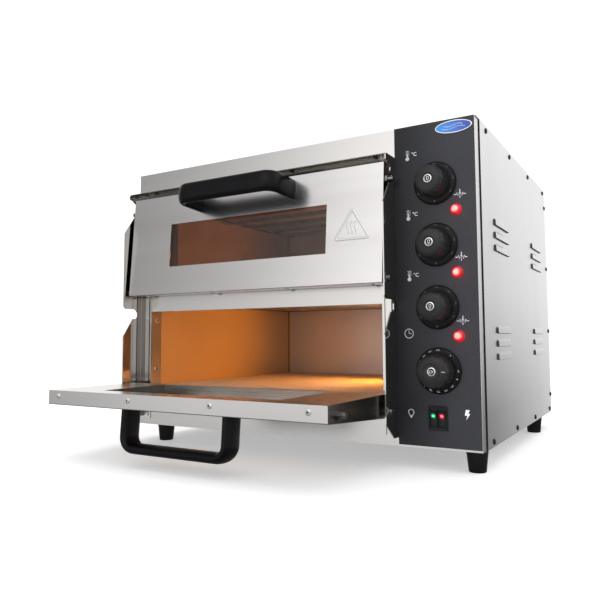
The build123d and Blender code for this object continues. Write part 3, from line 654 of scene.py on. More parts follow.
def finish_sideways(node_name, finish, outermost=0.0):
    """Second finish on the faces that look sideways, from a distance either side of the middle: painted
    shade, a darker steel on the doors and the painted ground reflection on the front frame's flank.
    """
    data = NODES[node_name].data
    data.materials.append(MATS[finish])
    for face in data.polygons:
        sideways = abs(face.normal.x) > 0.9 and abs(face.center.x) >= outermost
        face.material_index = 1 if sideways else 0


# Painted shade: the doors' sideways faces and window jambs are made dark.
for node_name in ("upper_door_skin", "lower_door_skin", "upper_door_liner", "lower_door_liner"):
    finish_sideways(node_name, "edge")
finish_sideways("front_frame", "side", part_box("front_frame")[1].x - 5 * MM)


def soften(node_name, width):
    """Bevel on a CAD node's sharp edges, so that they catch the light."""
    bevel = NODES[node_name].modifiers.new("edge", "BEVEL")
    bevel.width = width
    bevel.segments = 2
    bevel.limit_method = "ANGLE"
    bevel.angle_limit = math.radians(40)
    bevel.use_clamp_overlap = True


# ---- side panels with pressed louvres
LOUVRE_LENGTH = 79 * MM
LOUVRE_RISE = 2.3 * MM
LOUVRE_TOP = 5.0 * MM
LOUVRE_DROP = 4.6 * MM
LOUVRE_END = 1.1 * MM
LOUVRE_PITCH = 17 * MM
LOUVRE_LEVELS = (127.0 * MM, 268.5 * MM)
LOUVRE_FROM_FRONT = (117.0 * MM, 363.0 * MM)
LIP = 0.1 * MM
SLOT = 0.5 * MM
GROOVE = 3.4 * MM
GROOVE_DEPTH = 0.9 * MM


def louvre_height(along, up):
    """Height of the pressing: it rises from the panel to an open lip along its lower edge."""
    inside = LOUVRE_LENGTH / 2 - abs(along)
    if inside <= 1e-7 or not -LOUVRE_DROP - 1e-7 <= up <= LOUVRE_TOP:
        return 0.0
    end = math.sin(min(1.0, inside / LOUVRE_END) * math.pi / 2)
    slope = (LOUVRE_TOP - up) / (LOUVRE_TOP + LOUVRE_DROP)
    return LOUVRE_RISE * end * (0.25 * slope + 0.75 * math.sin(min(1.0, slope / 0.45) * math.pi / 2))


def side_panel(side_name, side):
    """Thin sheet with twelve louvres, its front edge stepped down beside the front frame's flange. The
    groove, the front rim, the slots under the louvres and their open ends are painted dark as shade.
    """
    node = f"side_panel_{side_name}"
    low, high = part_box(node)
    front_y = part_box("front_frame")[0].y
    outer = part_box("top_cover")[1].x * side
    groove_end = low.y + GROOVE + 0.3 * MM
    centres_y = [front_y + d for d in LOUVRE_FROM_FRONT]
    centres_z = [low.z + level + LOUVRE_PITCH * n for level in LOUVRE_LEVELS for n in (-1, 0, 1)]
    ys = {low.y, low.y + GROOVE, groove_end, high.y - 0.5 * MM, high.y}
    half = LOUVRE_LENGTH / 2
    for c in centres_y:
        for step in (-0.5 * MM, 0, 0.3 * MM, 0.6 * MM, LOUVRE_END):
            ys |= {c - half + step, c + half - step}
        ys |= {c + half * k / 5 for k in range(-4, 5)}
    zs = {low.z, low.z + 0.5 * MM, high.z - 0.5 * MM, high.z}
    for c in centres_z:
        slot_top = c - LOUVRE_DROP - LIP
        zs |= {c - LOUVRE_DROP + (LOUVRE_TOP + LOUVRE_DROP) * n / 10 for n in range(11)}
        zs |= {slot_top, slot_top - SLOT, slot_top - SLOT - 0.4 * MM, c + LOUVRE_TOP + 0.5 * MM}
    zs |= {low.z + (high.z - low.z) * n / 16 for n in range(1, 16)}
    ys, zs = sorted(ys), sorted(zs)
    width = len(ys)

    def rise(y, z):
        if y < low.y + GROOVE + 0.1 * MM:
            return -GROOVE_DEPTH
        return max(louvre_height(y - cy, z - cz) for cy in centres_y for cz in centres_z)

    def finish_at(y, z):
        """Number of the finish: 0 steel, 1 groove in painted shade, 2 painted shade on the slot under a
        louvre and at its open end.
        """
        for cy in centres_y:
            for cz in centres_z:
                along, up = y - cy, z - cz
                under = -LOUVRE_DROP - LIP - SLOT < up < -LOUVRE_DROP and abs(along) < half - 1.0 * MM
                at_end = -half < along < LOUVRE_END - half and -LOUVRE_DROP < up < LOUVRE_TOP * 0.6
                if under or at_end:
                    return 2
        return 1 if y < groove_end else 0

    verts = [Vector((outer + side * rise(y, z), y, z)) for z in zs for y in ys]
    faces, finish = [], []
    for j in range(len(zs) - 1):
        for i in range(width - 1):
            a, b = j * width + i, (j + 1) * width + i
            faces.append((a, a + 1, b + 1, b))
            finish.append(finish_at((ys[i] + ys[i + 1]) / 2, (zs[j] + zs[j + 1]) / 2))
    base = len(verts)
    inner = outer - side * SHEET
    verts += [Vector((inner, verts[i].y, verts[i].z)) for i in (0, width - 1, base - 1, base - width)]
    faces.append((base, base + 1, base + 2, base + 3))
    front, rear = range(0, base, width), range(width - 1, base, width)
    bottom, top = range(width), range(base - width, base)
    for rim, a, b in ((front, 0, 3), (rear, 1, 2), (bottom, 0, 1), (top, 3, 2)):
        faces.append((*rim, base + b, base + a))
    # The front rim face is painted shade, like the groove.
    finish += [0, 1, 0, 0, 0]
    finishes = ["side", "slot", "hood_shade"]
    panel = add_mesh(node + "_sheet", verts, faces, finishes, "casing", "brushed_steel")
    panel.data.polygons.foreach_set("material_index", finish)
    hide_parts(node)


side_panel("left", -1)
side_panel("right", 1)


# ---- screws
def cross_head(r, height, recess=0.55, spokes=48):
    """Domed pan head with a cross recess, standing on local Z."""
    rings = 12
    verts, faces = [Vector((0, 0, height - recess * height * 1.1))], []
    for ring in range(1, rings + 1):
        rr = r * ring / rings
        for n in range(spokes):
            a = math.tau * n / spokes
            x, y = rr * math.cos(a), rr * math.sin(a)
            dome = height * (1 - 0.45 * (rr / r) ** 2) if ring < rings else height * 0.35
            in_cross = min(abs(x), abs(y)) < r * 0.15 and rr < r * 0.62
            depth = recess * height * (1.1 - rr / r) if in_cross else 0.0
            verts.append(Vector((x, y, dome - depth)))
    for n in range(spokes):
        faces.append((0, 1 + n, 1 + (n + 1) % spokes))
    for ring in range(rings - 1):
        a, b = 1 + ring * spokes, 1 + (ring + 1) * spokes
        faces += [(a + n, b + n, b + (n + 1) % spokes, a + (n + 1) % spokes) for n in range(spokes)]
    last = 1 + (rings - 1) * spokes
    foot = len(verts)
    verts += [Vector((v.x, v.y, 0)) for v in verts[last:last + spokes]]
    faces += [(last + n, foot + n, foot + (n + 1) % spokes, last + (n + 1) % spokes) for n in range(spokes)]
    faces.append(tuple(reversed(range(foot, foot + spokes))))
    return verts, faces


HEAD_R = 3.6 * MM
HEAD_H = 1.8 * MM


def head_place(shape):
    """Foot and direction of a pan-head screw, or None for another kind of fastener."""
    verts = shape[0]
    low = Vector([min(v[k] for v in verts) for k in range(3)])
    high = Vector([max(v[k] for v in verts) for k in range(3)])
    size = high - low
    wide = [k for k in range(3) if abs(size[k] - 2 * HEAD_R) < 0.3 * MM]
    if len(wide) != 2:
        return None
    axis = 3 - sum(wide)
    origin = (low + high) / 2
    rim = [v[axis] for v in verts if math.hypot(*((v - origin)[k] for k in wide)) > HEAD_R * 0.9]
    outward = 1 if sum(rim) / len(rim) > origin[axis] else -1
    origin[axis] = (high if outward > 0 else low)[axis] - outward * HEAD_H
    normal = Vector((0, 0, 0))
    normal[axis] = outward
    return origin, normal


def screw_set(node, body, finish, slot_name):
    """Every fastener of a group node: pan heads are remade with a cross recess, each turned its own way, with
    dark bars of painted shade in the recess.
    """
    rng = random.Random(len(node))
    shapes, recess_shades = [], []
    for shape in islands(node):
        found = head_place(shape)
        if found is None:
            shapes.append(shape)
            continue
        origin, normal = found
        side_axis = Vector((1, 0, 0)) if abs(normal.x) < 0.5 else Vector((0, 1, 0))
        matrix = basis(origin, side_axis, normal) @ turned(rng.uniform(0, math.pi / 2))
        shapes.append(placed(cross_head(HEAD_R, HEAD_H), matrix))
        # Dark bars of painted shade laid in the cross recess.
        for quarter in (0, math.pi / 2):
            slot = bar(HEAD_R * 0.26, -HEAD_R * 0.5, HEAD_R * 0.5, HEAD_H * 0.22)
            recess_shades.append(placed(slot, matrix @ turned(quarter) @ Matrix.Translation((0, 0, HEAD_H * 0.4))))
        shank = lathe([(0, -4 * MM), (HEAD_R / 2, -4 * MM), (HEAD_R / 2, 0), (0, 0)], 20)
        shapes.append(placed(shank, matrix))
    piece = add_mesh(node + "_heads", *joined(shapes), finish, body, slot_name)
    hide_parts(node)
    add_mesh(node + "_recess_shades", *joined(recess_shades), "slot", body, slot_name, smooth=False)


screw_set("panel_screws", "casing", "black_screw", "black_screw")
screw_set("mouth_screws", "casing", "screw", "screw_steel")
screw_set("upper_door_screws", "upper_door", "bright_screw", "screw_steel")
screw_set("lower_door_screws", "lower_door", "bright_screw", "screw_steel")


# ---- folded trims on the hinge plates' posts
def post_trim(side_name, side):
    """Shallow channel along a post: a root in painted shade, then a raised band between two dark folds of
    painted shade.
    """
    low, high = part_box(f"hinge_plate_{side_name}")
    mouth = high.x if side < 0 else low.x
    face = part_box("front_frame")[0].y - SHEET
    root = (high.x - low.x) / MM - 1.9
    zones = [(root, 0.06, 0), (14.2, 0.06, 0), (14.2, 0.04, 1), (13.2, 0.04, 1), (12.9, 0.6, 2),
             (4.6, 0.6, 2), (4.3, 0.04, 1), (3.3, 0.04, 1)]
    verts, faces, finish = [], [], []
    bottom, top = low.z + 4 * MM, high.z - 6 * MM
    for inward, lift, _ in zones:
        x = mouth + side * inward * MM
        verts += [Vector((x, face - lift * MM, bottom)), Vector((x, face - lift * MM, top))]
    for n, (_, _, kind) in enumerate(zones[:-1]):
        a = 2 * n
        faces.append((a, a + 1, a + 3, a + 2))
        finish.append(kind if zones[n + 1][2] == kind else 1)
    base = len(verts)
    last = base - 2
    for n in (0, 1, last + 1, last):
        verts.append(Vector((verts[n].x, face, verts[n].z)))
    faces += [(0, 1, base + 1, base), (last, last + 1, base + 2, base + 3)]
    faces.append((base, base + 1, base + 2, base + 3))
    faces.append((*range(0, base, 2), base + 3, base))
    faces.append((*range(1, base, 2), base + 2, base + 1))
    finish += [1] * 5
    # root and slot are painted shade; only the raised band is the plate's steel.
    finishes = ["root", "slot", "plate"]
    trim = add_mesh(f"post_trim_{side_name}", verts, faces, finishes, "casing", "brushed_steel", smooth=False)
    trim.data.polygons.foreach_set("material_index", finish)


post_trim("left", -1)
post_trim("right", 1)


# ---- feet
def feet():
    floor_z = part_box("feet")[0].z
    height = (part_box("feet")[1].z - floor_z) / MM
    outline = points2((6, 9), (6, 0.6), (6.6, 0), (10.0, 0), (10.6, 0.9), (12.7, height - 5),
                      (12.9, height - 4.6), (13.15, height - 3.6), (13.2, height - 0.8), (12.6, height),
                      (2.6, height), (2.6, 9), (6, 9))
    shapes = []
    for verts, _ in islands("feet"):
        x = (min(v.x for v in verts) + max(v.x for v in verts)) / 2
        y = (min(v.y for v in verts) + max(v.y for v in verts)) / 2
        shapes.append(placed(lathe(outline, 56), Matrix.Translation((x, y, floor_z))))
    piece = add_mesh("rubber_feet", *joined(shapes), "rubber", "casing", "foot_rubber")
    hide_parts("feet")


feet()


# ---- dials
def knob(name, grip_r, well_r, numerals, tick_angle, tick):
    """Dial made of a skirt, a fluted grip and a ring emblem. Radii are in mm, as is the tick's span."""
    node, body = f"{name}_knob", f"{name}_dial"
    low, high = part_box(node)
    at = middle(node)
    skirt_r = (high.x - low.x) / 2 / MM
    top = (high.y - low.y) / MM - 0.6
    seat = top - 0.9
    matrix = facing_front(at.x, high.y, at.z)
    skirt = points2((0, 0), (skirt_r - 0.5, 0), (skirt_r, 0.5), (skirt_r, 1.6), (skirt_r - 0.5, 2.4),
                    (skirt_r - 1.6, 3.0), (skirt_r - 4.0, 3.3), (grip_r + 2.6, 3.5), (grip_r + 2.3, 4.2),
                    (grip_r + 1.4, 4.3), (grip_r + 1.0, 3.8), (grip_r - 0.6, 3.8), (0, 4.9))
    base = add_mesh(f"{name}_skirt", *placed(lathe(skirt, 96), matrix), "knob", body, "knob_plastic")
    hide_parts(node)

    grip = points2((0, 3.4), (grip_r, 3.4), (grip_r - 0.3, 7), (grip_r - 0.9, top - 4.4),
                   (grip_r - 1.6, top - 2.6), (grip_r - 3.0, top - 1.4), (grip_r - 5.4, top - 0.6),
                   (well_r + 1.0, top - 0.1), (well_r + 0.4, top), (well_r, top - 0.3), (well_r - 0.5, seat),
                   (0, seat))
    verts, faces = lathe(grip, 120)
    for v in verts:
        if math.hypot(v.x, v.y) > (grip_r - 1.9) * MM and v.z > 6 * MM:
            flute = 1 - 0.014 * (1 - math.cos(12 * math.atan2(v.y, v.x))) ** 1.5
            v.x *= flute
            v.y *= flute
    add_mesh(f"{name}_grip", *placed((verts, faces), matrix), "grip", body, "knob_plastic")

    ring = points2((3.5, seat), (5.3, seat), (5.3, seat + 0.5), (4.9, seat + 0.8), (4.1, seat + 0.8),
                   (3.6, seat + 0.4), (3.5, seat))
    turns = [math.tau * n / 28 for n in range(28)]
    drop = [(2.0 * math.sin(t) * (0.62 - 0.3 * math.cos(t)), -2.4 * math.cos(t)) for t in turns]
    mark = placed(line(drop, 0.36, True), turned(tick_angle + math.pi) @ shifted(0, 0, seat + 0.12))
    add_mesh(f"{name}_emblem", *placed(joined([lathe(ring, 64), mark]), matrix), "silver", body,
             "knob_plastic")

    marks = []

    def stroke(width, inner, outer, depth, turn, height):
        """Printed bar along a radius, at an angle round the dial from the tick."""
        place = matrix @ turned(tick_angle + math.radians(turn)) @ shifted(0, 0, height)
        marks.append(placed(bar(width * MM, inner * MM, outer * MM, depth * MM), place))

    def numbers(words, turn, step, radius, height, size, depth):
        """Words round the dial at even steps, from an angle off the tick."""
        for n, word in enumerate(words):
            place = turned(tick_angle + math.radians(turn + step * n)) @ shifted(0, radius, height)
            marks.append(placed(text_shape(word, size * MM, depth * MM), matrix @ place))

    if numerals:
        stroke(0.7, *tick, 0.35, 0, top - 0.62)
        stroke(1.1, skirt_r - 5.2, skirt_r - 3.4, 0.3, 50, 3.1)
        numbers(numerals, 0, -22.5, skirt_r - 4.0, 3.28, 4.4, 0.06)
    else:
        stroke(0.8, *tick, 0.32, 0, 3.1)
        numbers(THERMOSTAT_NUMERALS, -60, -40, skirt_r - 3.4, 3.2, 3.0, 0.05)
        for n in range(31):
            reach = 1.0 if n % 5 else 0.4
            stroke(0.16, skirt_r - 5.9, skirt_r - 5.9 + reach, 0.22, -60 - 8 * n, 3.2)
    ink = "print" if numerals else "faint_print"
    add_mesh(f"{name}_marks", *joined(marks), ink, body, "knob_plastic", smooth=False)


TIMER_NUMERALS = [str(minutes) for minutes in range(0, 61, 5)]
THERMOSTAT_NUMERALS = [str(degrees) for degrees in range(50, 351, 50)]
for dial in ("top", "middle", "bottom"):
    knob(dial, grip_r=18.8, well_r=7.0, numerals=(), tick_angle=math.pi, tick=(20.6, 24.6))
knob("timer", grip_r=20.6, well_r=9.6, numerals=TIMER_NUMERALS, tick_angle=-math.pi / 2, tick=(10.8, 16.6))


# ---- signal lamps
def signal_lamp(name):
    """Faceted red lens in a thin bezel, its lit middle in two caps that follow the lens, and its halo."""
    node = f"{name}_indicator"
    low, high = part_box(node)
    at = middle(node)
    matrix = facing_front(at.x, FASCIA_FRONT, at.z)
    r = (high.x - low.x) / 2 / MM
    lens_r = r - 0.6
    reach = (FASCIA_FRONT - low.y) / MM
    rim = 1.4
    bezel = points2((0, 0), (r, 0), (r, 0.6), (r - 0.4, 0.9), (0, 0.9))
    behind = points2((0, -22), (5.4, -22), (5.4, 0), (0, 0))
    shape = joined([lathe(bezel, 56), lathe(behind, 32)])
    ring = add_mesh(f"{name}_lamp_bezel", *placed(shape, matrix), "red_lens", "casing", "red_lens")
    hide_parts(node)
    climb = [math.radians(12 * k) for k in range(1, 7)]
    dome = [(lens_r * math.cos(a), rim + (reach - rim) * math.sin(a)) for a in climb]
    profile = points2((0, 0.7), (lens_r, 0.7), (lens_r, rim), *dome, (0, reach))
    lens = placed(lathe(profile, 12), matrix @ turned(0.2))
    add_mesh(f"{name}_lamp_lens", *lens, "red_lens", "casing", "red_lens", smooth=False)
    for part, radius, lift, aside in (("ring", 5.3, 0.05, 0.1), ("core", 3.7, 0.16, 0.35)):
        radii = [radius * k / 6 for k in (6, 5, 4, 3, 2, 1, 0)]
        cap = [(out, rim + (reach - rim) * math.sqrt(1 - (out / lens_r) ** 2) + lift) for out in radii]
        shape = lathe(points2((0, 0.8), (radius, 0.8), *cap), 12)
        piece = placed(shape, matrix @ shifted(-aside, aside / 2, 0))
        add_mesh(f"{name}_lamp_{part}", *piece, f"red_{part}", "casing", "red_lens", smooth=False)
    in_front = matrix @ Vector((0, 0, (reach + 6) * MM))
    halo = add_light("POINT", f"{name}_halo", in_front, 0.0035, (1.0, 0.06, 0.05))
    halo.data.shadow_soft_size = 4 * MM


for lamp in ("top", "middle", "bottom"):
    signal_lamp(lamp)


# ---- rocker switches
def rocker_switch():
    """Frame of the twin switch: a rounded rim, a well behind it and the wall between the two keys."""
    low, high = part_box("rocker_housing")
    at = middle("rocker_housing")
    matrix = facing_front(at.x, FASCIA_FRONT, at.z)
    half_x, half_z = (high.x - low.x) / 2, (high.z - low.z) / 2
    well_x, well_z = 10.4 * MM, 11.8 * MM
    well_floor = -14 * MM
    outer = rounded_loop(rectangle(half_x, half_z), 1.6 * MM)
    crown = [p * (1 - 0.6 * MM / half_x) for p in outer]
    inner = rounded_loop(rectangle(well_x, well_z), 0.8 * MM)
    layers = [(outer, 0), (outer, 1.4 * MM), (crown, 2.0 * MM), (inner, 1.9 * MM), (inner, well_floor)]
    verts = [Vector((p.x, p.y, height)) for loop, height in layers for p in loop]
    wall = prism([Vector(p) for p in rectangle(0.35 * MM, well_z)], well_floor, 1.5 * MM, 0.2 * MM)
    shape = joined([(verts, loft(verts, len(outer))), wall])
    housing = add_mesh("switch_frame", *placed(shape, matrix), "switch", "casing", "switch_plastic")
    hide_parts("rocker_housing")


def rocker(name, light):
    """Rocker key with rounded edges and a lit window in its upper half."""
    node, body = f"{name}_rocker", f"{name}_switch"
    half_w = 4.4 * MM
    tilt = math.radians(9)
    corners = points2((-6.2, 9.4), (-4.4, 0), (-6.2, -9.4), (2.0, -9.0), (5.0, -2.6), (5.0, 2.6), (2.0, 9.0))
    section = rounded_loop(corners, 0.7 * MM, 4)
    edge, end_scale = 0.35 * MM, 1 - 0.35 / 6
    verts = []
    for x, scale in ((-half_w, end_scale), (-half_w + edge, 1), (half_w - edge, 1), (half_w, end_scale)):
        verts += [Vector((x, p.x * scale, p.y * scale)) for p in section]
    turn = Matrix.Translation(HINGES[body]) @ Matrix.Rotation(tilt, 4, "X")
    shape = placed((verts, loft(verts, len(section))), turn)
    key = add_mesh(f"{name}_key", *shape, "switch", body, f"{light}_rocker")
    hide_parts(node)
    out = basis((0, -5.0 * MM, 3.6 * MM), (1, 0, 0), (0, -1, -0.19))
    for part, half_x, half_y, lift in (("window", 3.3, 3.6, 0.12), ("light", 1.7, 1.5, 0.3)):
        outline = [p * MM for p in rounded_loop(rectangle(half_x, half_y), min(half_x, half_y) * 0.9)]
        lens = placed(prism(outline, -0.4 * MM, lift * MM, 0.1 * MM), turn @ out)
        add_mesh(f"{name}_{part}", *lens, f"{light}_{part}", body, f"{light}_rocker")


rocker_switch()
rocker("light", "green")
rocker("power", "red")


# ---- badge and printed symbols
def badge():
    """Oval plate with a rim and two plain wavy lines."""
    low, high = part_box("badge")
    at = middle("badge")
    half_x, half_z = (high.x - low.x) / 2, (high.z - low.z) / 2
    thick = high.y - low.y
    matrix = facing_front(at.x, high.y, at.z)
    steps = 72

    def oval(scale):
        """Outline of the plate, set in by the same width all round."""
        half_up = half_z * (1 - (1 - scale) * half_x / half_z)
        angles = [math.tau * n / steps for n in range(steps)]
        return [Vector((half_x * scale * math.cos(a), half_up * math.sin(a))) for a in angles]

    layers = ((1.0, 0), (1.0, thick * 0.7), (0.985, thick), (0.945, thick), (0.93, thick * 0.6))
    rim = [Vector((p.x, p.y, height)) for scale, height in layers for p in oval(scale)]
    shape = placed((rim, loft(rim, steps)), matrix)
    plate = add_mesh("badge_rim", *shape, "silver", "casing", "badge_blue")
    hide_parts("badge")
    enamel = prism(oval(0.925), thick * 0.5, thick * 0.85)
    add_mesh("badge_enamel_oval", *placed(enamel, matrix), "badge", "casing", "badge_blue")
    waves = []
    for lift, reach, width in ((0.2, 0.5, 0.36 * MM), (-0.2, 0.62, 0.3 * MM)):
        places = [-1 + 2 * n / 24 for n in range(25)]
        rises = [half_z * (lift + 0.16 * math.sin(math.pi * t)) for t in places]
        points = [Vector((half_x * reach * t, rise)) for t, rise in zip(places, rises)]
        waves.append(tube_line(points, width, flat=0.35))
    lines = placed(joined(waves), matrix @ Matrix.Translation((0, 0, thick * 0.85)))
    add_mesh("badge_waves", *lines, "silver", "casing", "badge_blue")


def symbol(name, shapes, at, x, z, finish="print"):
    """Printed symbol on the control panel, x and z mm from the middle of a dial or the switch."""
    matrix = facing_front(at.x + x * MM, FASCIA_FRONT, at.z + z * MM)
    add_mesh(name, *placed(joined(shapes), matrix), finish, "casing", "fascia_black")


PRINT_LAYER = (-0.1 * MM, 0.14 * MM)


def thermometer():
    """Thin tube with a round bulb below it and short marks to either side."""
    tube = [(-0.8, -1.6), (-0.8, 6.2), (0, 6.9), (0.8, 6.2), (0.8, -1.6)]
    bulb = prism(points2(*circle2(2.5, 0, -3.9)), *PRINT_LAYER)
    mercury = prism(points2((-0.5, -2.2), (0.5, -2.2), (0.5, 2.0), (-0.5, 2.0)), *PRINT_LAYER)
    marks = [line([(1.7, h), (2.9, h)], 0.24) for h in (0.6, 2.4, 4.2, 6.0)]
    marks += [line([(-2.9, h), (-1.7, h)], 0.24) for h in (2.4, 6.0)]
    return [line(tube, 0.3), bulb, mercury] + marks


def heater_symbol():
    """Zigzag with a mark above and below it."""
    teeth = [(-3.7, 2.2), (-2.4, -2.2), (-1.2, 2.2), (0, -2.2), (1.2, 2.2), (2.4, -2.2), (3.7, 2.2)]
    zigzag = [(-7.4, 0), (-4.6, 0), *teeth, (4.6, 0), (7.4, 0)]
    return [line(zigzag, 0.42), line([(0, 0.6), (0, 6.2)], 0.45), line([(0, -2.4), (0, -4.6)], 0.36)]


def clock_symbol():
    return [line(circle2(5.6), 0.42, True), line([(0, 3.8), (0, 0), (3.2, 0)], 0.4)]


def bulb_symbol():
    right = [(1.7, 4.9), (3.2, 3.3), (3.6, 1.2), (1.5, -2.6)]
    glass = [(-x, y) for x, y in reversed(right)] + [(0, 5.3)] + right
    cap = [line([(-half, y), (half, y)], 0.4) for half, y in ((1.2, -3.7), (0.6, -4.8))]
    return [line(glass, 0.42, True)] + cap


def bolt_symbol():
    shape = points2((-1.6, 6.0), (3.0, 6.0), (1.4, 1.6), (3.6, 1.6), (-1.4, -6.2), (0.2, -0.8), (-2.9, -0.8))
    return [prism(shape, *PRINT_LAYER)]


badge()
for dial in ("top", "middle", "bottom"):
    dial_at = middle(f"{dial}_knob")
    unit = text_shape("°C", 6.6 * MM, 0.12 * MM)
    symbol(f"{dial}_thermometer", thermometer(), dial_at, -36.0, 40.0)
    symbol(f"{dial}_unit", [unit], dial_at, -27.0, 41.0, "bright_print")
    symbol(f"{dial}_heater_symbol", heater_symbol(), dial_at, 30.8, -17.2, "bright_print")
symbol("clock_symbol", clock_symbol(), middle("timer_knob"), -37.8, 45.3)
symbol("bulb_symbol", bulb_symbol(), middle("rocker_housing"), -34.4, 3.8)
symbol("bolt_symbol", bolt_symbol(), middle("rocker_housing"), 35.6, 5.8, "bright_print")


# ---- door handles and pressed heat signs
def door_face(body):
    """Matrix of a door's outer skin: X across, Y up the skin, Z outwards."""
    closed = basis((middle("upper_door_skin").x, SKIN_LOW.y, SKIN_LOW.z), (1, 0, 0),
                   (0, -math.cos(DOOR_LEAN), math.sin(DOOR_LEAN)))
    if body == "upper_door":
        return closed
    hinge = Matrix.Translation(HINGES["lower_door"])
    swing = hinge @ Matrix.Rotation(math.pi / 2, 4, "X") @ hinge.inverted()
    return swing @ Matrix.Translation((0, 0, -DECK_PITCH)) @ closed


HANDLE_HALF = 87.0 * MM
HANDLE_REACH = 55.0 * MM
HANDLE_SECTION = (6.5 * MM, 14.3 * MM)
HANDLE_BEND = 15.5 * MM


def bow_handle(body):
    """Moulded bow with a soft oval section that follows a path out of the skin, across and back."""
    thick, tall = HANDLE_SECTION
    x_end, out = HANDLE_HALF - thick, HANDLE_REACH - thick
    bend = HANDLE_BEND
    path = [((-x_end, along), (-1, 0)) for along in (0, 3 * MM, 12 * MM)]
    for k in range(13):
        c, d = math.cos(math.pi - math.pi / 2 * k / 12), math.sin(math.pi - math.pi / 2 * k / 12)
        path.append(((-x_end + bend + bend * c, out - bend + bend * d), (c, d)))
    path += [((x, out), (0, 1)) for x in (-x_end / 2, 0)]
    path += [((-x, w), (-nx, nw)) for (x, w), (nx, nw) in reversed(path[:-1])]
    sides, power = 40, 2 / 2.4
    verts = []
    for n, ((x, w), (nx, nw)) in enumerate(path):
        flare = 1.08 if n in (0, len(path) - 1) else 1.0
        for k in range(sides):
            c, d = math.cos(math.tau * k / sides), math.sin(math.tau * k / sides)
            across = thick * flare * math.copysign(abs(c) ** power, c)
            up = tall * math.copysign(abs(d) ** power, d)
            verts.append(Vector((x + nx * across, up, w + nw * across)))
    face = door_face(body)
    at = face.inverted() @ middle(f"{body}_handle")
    shape = placed((verts, loft(verts, sides)), face @ Matrix.Translation((at.x, at.y, 0)))
    handle = add_mesh(f"{body}_bow", *shape, "handle", body, "handle_plastic")
    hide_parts(f"{body}_handle")


bow_handle("upper_door")
bow_handle("lower_door")


HEAT_SIGN_AT = (174.6, 77.5, 0)


def heat_sign(body):
    """Plain triangle with three rising waves, pressed out of the skin."""
    triangle = rounded_loop([(0, 20.5), (-24.5, -18.5), (24.5, -18.5)], 2.2, 5)
    shapes = [tube_line([p * MM for p in triangle], 1.7 * MM, True, flat=0.4)]
    steps = [n / 20 for n in range(21)]
    for offset in (-5.4, 0, 5.4):
        wave = points2(*((offset + 1.5 * math.sin(t * 2.1 * math.pi), -12.5 + 17.0 * t) for t in steps))
        shapes.append(tube_line(wave, 1.5 * MM, flat=0.4))
    matrix = door_face(body) @ shifted(*HEAT_SIGN_AT)
    # The pressing's lighter steel is painted highlight.
    add_mesh(f"{body}_heat_sign", *placed(joined(shapes), matrix), "pressing", body, "brushed_steel")


heat_sign("upper_door")
heat_sign("lower_door")

EDGE_WIDTHS = {
    0.25: ("back_panel", "control_fascia", "upper_door_liner", "lower_door_liner"),
    0.3: ("front_frame", "top_cover", "lintel_strip"),
    0.35: ("hinge_plate_left", "hinge_plate_right"),
    1.0: ("lower_stone", "upper_stone"),
}
for width, names in EDGE_WIDTHS.items():
    for node_name in names:
        soften(node_name, width * MM)

# ---- stage, light and camera
FLOOR_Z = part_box("feet")[0].z
FLOOR_REACH = 30.0


def stage():
    data = bpy.data.meshes.new("floor")
    data.from_pydata([(x, y, FLOOR_Z) for x, y in rectangle(FLOOR_REACH, FLOOR_REACH)], [], [(0, 1, 2, 3)])
    floor = bpy.data.objects.new("floor", data)
    bpy.context.scene.collection.objects.link(floor)
    s = Shader("floor", (0.9, 0.9, 0.9), 0.7, Emission_Color=(1, 1, 1, 1), Emission_Strength=0.36)
    s.color(s.ramp(s.noise(3.0), [(0.3, 0.89), (0.7, 0.92)]))
    data.materials.append(s.mat)
    floor.visible_glossy = False


def area_light(name, place, target, size, power, mirrored=True):
    """Square studio lamp. mirrored says whether glossy surfaces show it."""
    lamp = add_light("AREA", name, place, power, (1, 1, 1))
    lamp.data.shape = "RECTANGLE"
    lamp.data.size = lamp.data.size_y = size
    point_lamp(lamp, Vector(target) - Vector(place))
    lamp.visible_glossy = mirrored


def spot(name, place, direction, angle, power, color, size):
    lamp = add_light("SPOT", name, place, power, color)
    lamp.data.shadow_soft_size = size
    lamp.data.spot_size = math.radians(angle)
    lamp.data.spot_blend = 1.0
    point_lamp(lamp, direction)
    lamp.visible_glossy = False


def chamber_light(level, power, tint, fill, fill_tint):
    """Warm light thrown at the front of the far wall from the oven lamp, and a paler fill on the back."""
    low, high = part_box(f"{level}_lamp")
    by_lamp = (low.x - 20 * MM, (low.y + high.y) / 2, (low.z + high.z) / 2)
    spot(f"{level}_glow", by_lamp, (-1.0, -0.95, 0.12), 110, power, tint, 20 * MM)
    at = middle(f"{level}_chamber")
    in_mouth = (at.x + 60 * MM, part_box("front_frame")[0].y + 60 * MM, at.z)
    spot(f"{level}_fill", in_mouth, (-0.1, 1.0, 0.0), 100, fill, fill_tint, 30 * MM)


def world():
    """Studio surround: white walls, a grey one to the left of the doors, and a grey ground."""
    studio = bpy.data.worlds.new("studio")
    bpy.context.scene.world = studio
    studio.use_nodes = True
    w = Nodes(studio.node_tree)
    x, y, z = w.split(w.add("TexCoord").outputs["Generated"])
    angle = w.add("Math")
    angle.operation = "ARCTAN2"
    w.link(x, angle.inputs[0])
    w.link(y, angle.inputs[1])
    turn = w.span(angle.outputs[0], -math.pi, math.pi)
    share = w.ramp(w.span(z, *GROUND_FADE), WALL_SHARE)
    room = w.blend(share, GROUND_TONE, w.ramp(turn, WALL_TONES))
    band = w.multiply(w.ramp(w.span(z, *BAND_SPAN), HORIZON_BAND), w.ramp(turn, BAND_TONES))
    lit = w.blend(1.0, room, band, "LIGHTEN")
    dimmed = w.multiply(lit, w.span(z, 0.6, 1.0, 1.0, CEILING_TONE))
    w.link(dimmed, w.tree.nodes["Background"].inputs["Color"])


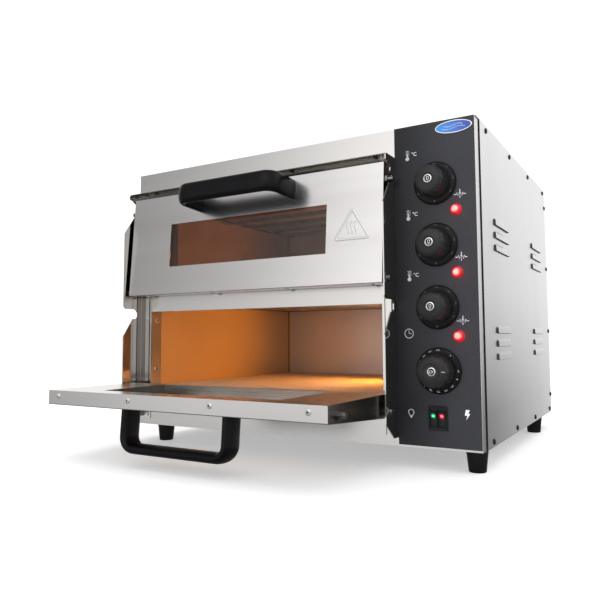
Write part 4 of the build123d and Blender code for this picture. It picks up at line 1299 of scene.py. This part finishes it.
# Tones by direction: a full turn goes from the front (0) by the left (0.25), back and right to the front.
WALL_TONES = ((0.0, 1.35), (0.065, 1.45), (0.1, 0.66), (0.135, 0.34), (0.24, 0.32), (0.31, 1.15), (0.46, 1.2),
              (0.52, 1.06), (0.62, 1.0), (0.9, 0.9))
BAND_TONES = ((0.0, 1.0), (0.12, 1.0), (0.15, 0.46), (0.25, 0.4), (0.3, 0.0), (0.8, 0.0), (0.9, 0.8))
# Share or strength by height, over a span of the direction's upward part.
WALL_SHARE = ((0.0, 0.0), (0.125, 0.1), (0.225, 0.28), (0.325, 0.56), (0.6, 0.82), (0.97, 1.0))
GROUND_FADE = (-0.33, 0.07)
HORIZON_BAND = ((0.0, 0.0), (0.12, 0.0), (0.3, 1.0), (0.62, 1.0), (0.85, 0.0))
BAND_SPAN = (-0.25, 0.15)
GROUND_TONE = (0.19, 0.188, 0.192)
CEILING_TONE = 0.62
YAW = math.radians(29.908)
PITCH = math.radians(4.519)
ROLL = math.radians(-0.328)
LENS = 36.783
SHIFT = (-0.0269, -0.0182)
CAMERA_FROM_CORNER = Vector((192.7, -723.9, 135.2)) * MM


def camera():
    """Camera at the photograph's viewing angle, placed from the casing's lower right front corner."""
    data = bpy.data.cameras.new("camera")
    data.sensor_width = 36.0
    data.lens = LENS
    data.shift_x, data.shift_y = SHIFT
    data.clip_start = 0.01
    data.clip_end = 100.0
    cam = bpy.data.objects.new("camera", data)
    bpy.context.scene.collection.objects.link(cam)
    front_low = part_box("front_frame")[0]
    corner = Vector((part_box("top_cover")[1].x, front_low.y, front_low.z))
    forward = Vector((-math.sin(YAW) * math.cos(PITCH), math.cos(YAW) * math.cos(PITCH), math.sin(PITCH)))
    right = Vector((math.cos(YAW), math.sin(YAW), 0))
    up = right.cross(forward)
    rolled_right = right * math.cos(ROLL) + up * math.sin(ROLL)
    rolled_up = up * math.cos(ROLL) - right * math.sin(ROLL)
    turn = Matrix((rolled_right, rolled_up, -forward)).transposed().to_4x4()
    cam.matrix_world = Matrix.Translation(corner + CAMERA_FROM_CORNER) @ turn
    bpy.context.scene.camera = cam


stage()
world()
area_light("key", (0.5, -2.4, 1.5), (0, -0.1, 0.2), 1.2, 5)
area_light("fill_right", (2.4, 0.2, 1.8), (0.1, 0, 0.2), 1.6, 6)
area_light("top", (0.0, 0.2, 2.6), (0, 0, 0), 3.2, 30, mirrored=False)
chamber_light("lower", 9.6, (1.0, 0.38, 0.05), 0.46, (0.95, 0.84, 0.85))
chamber_light("upper", 3.8, (1.0, 0.44, 0.14), 0.42, (0.9, 0.94, 1.0))
camera()
bpy.context.scene.view_settings.view_transform = "Standard"
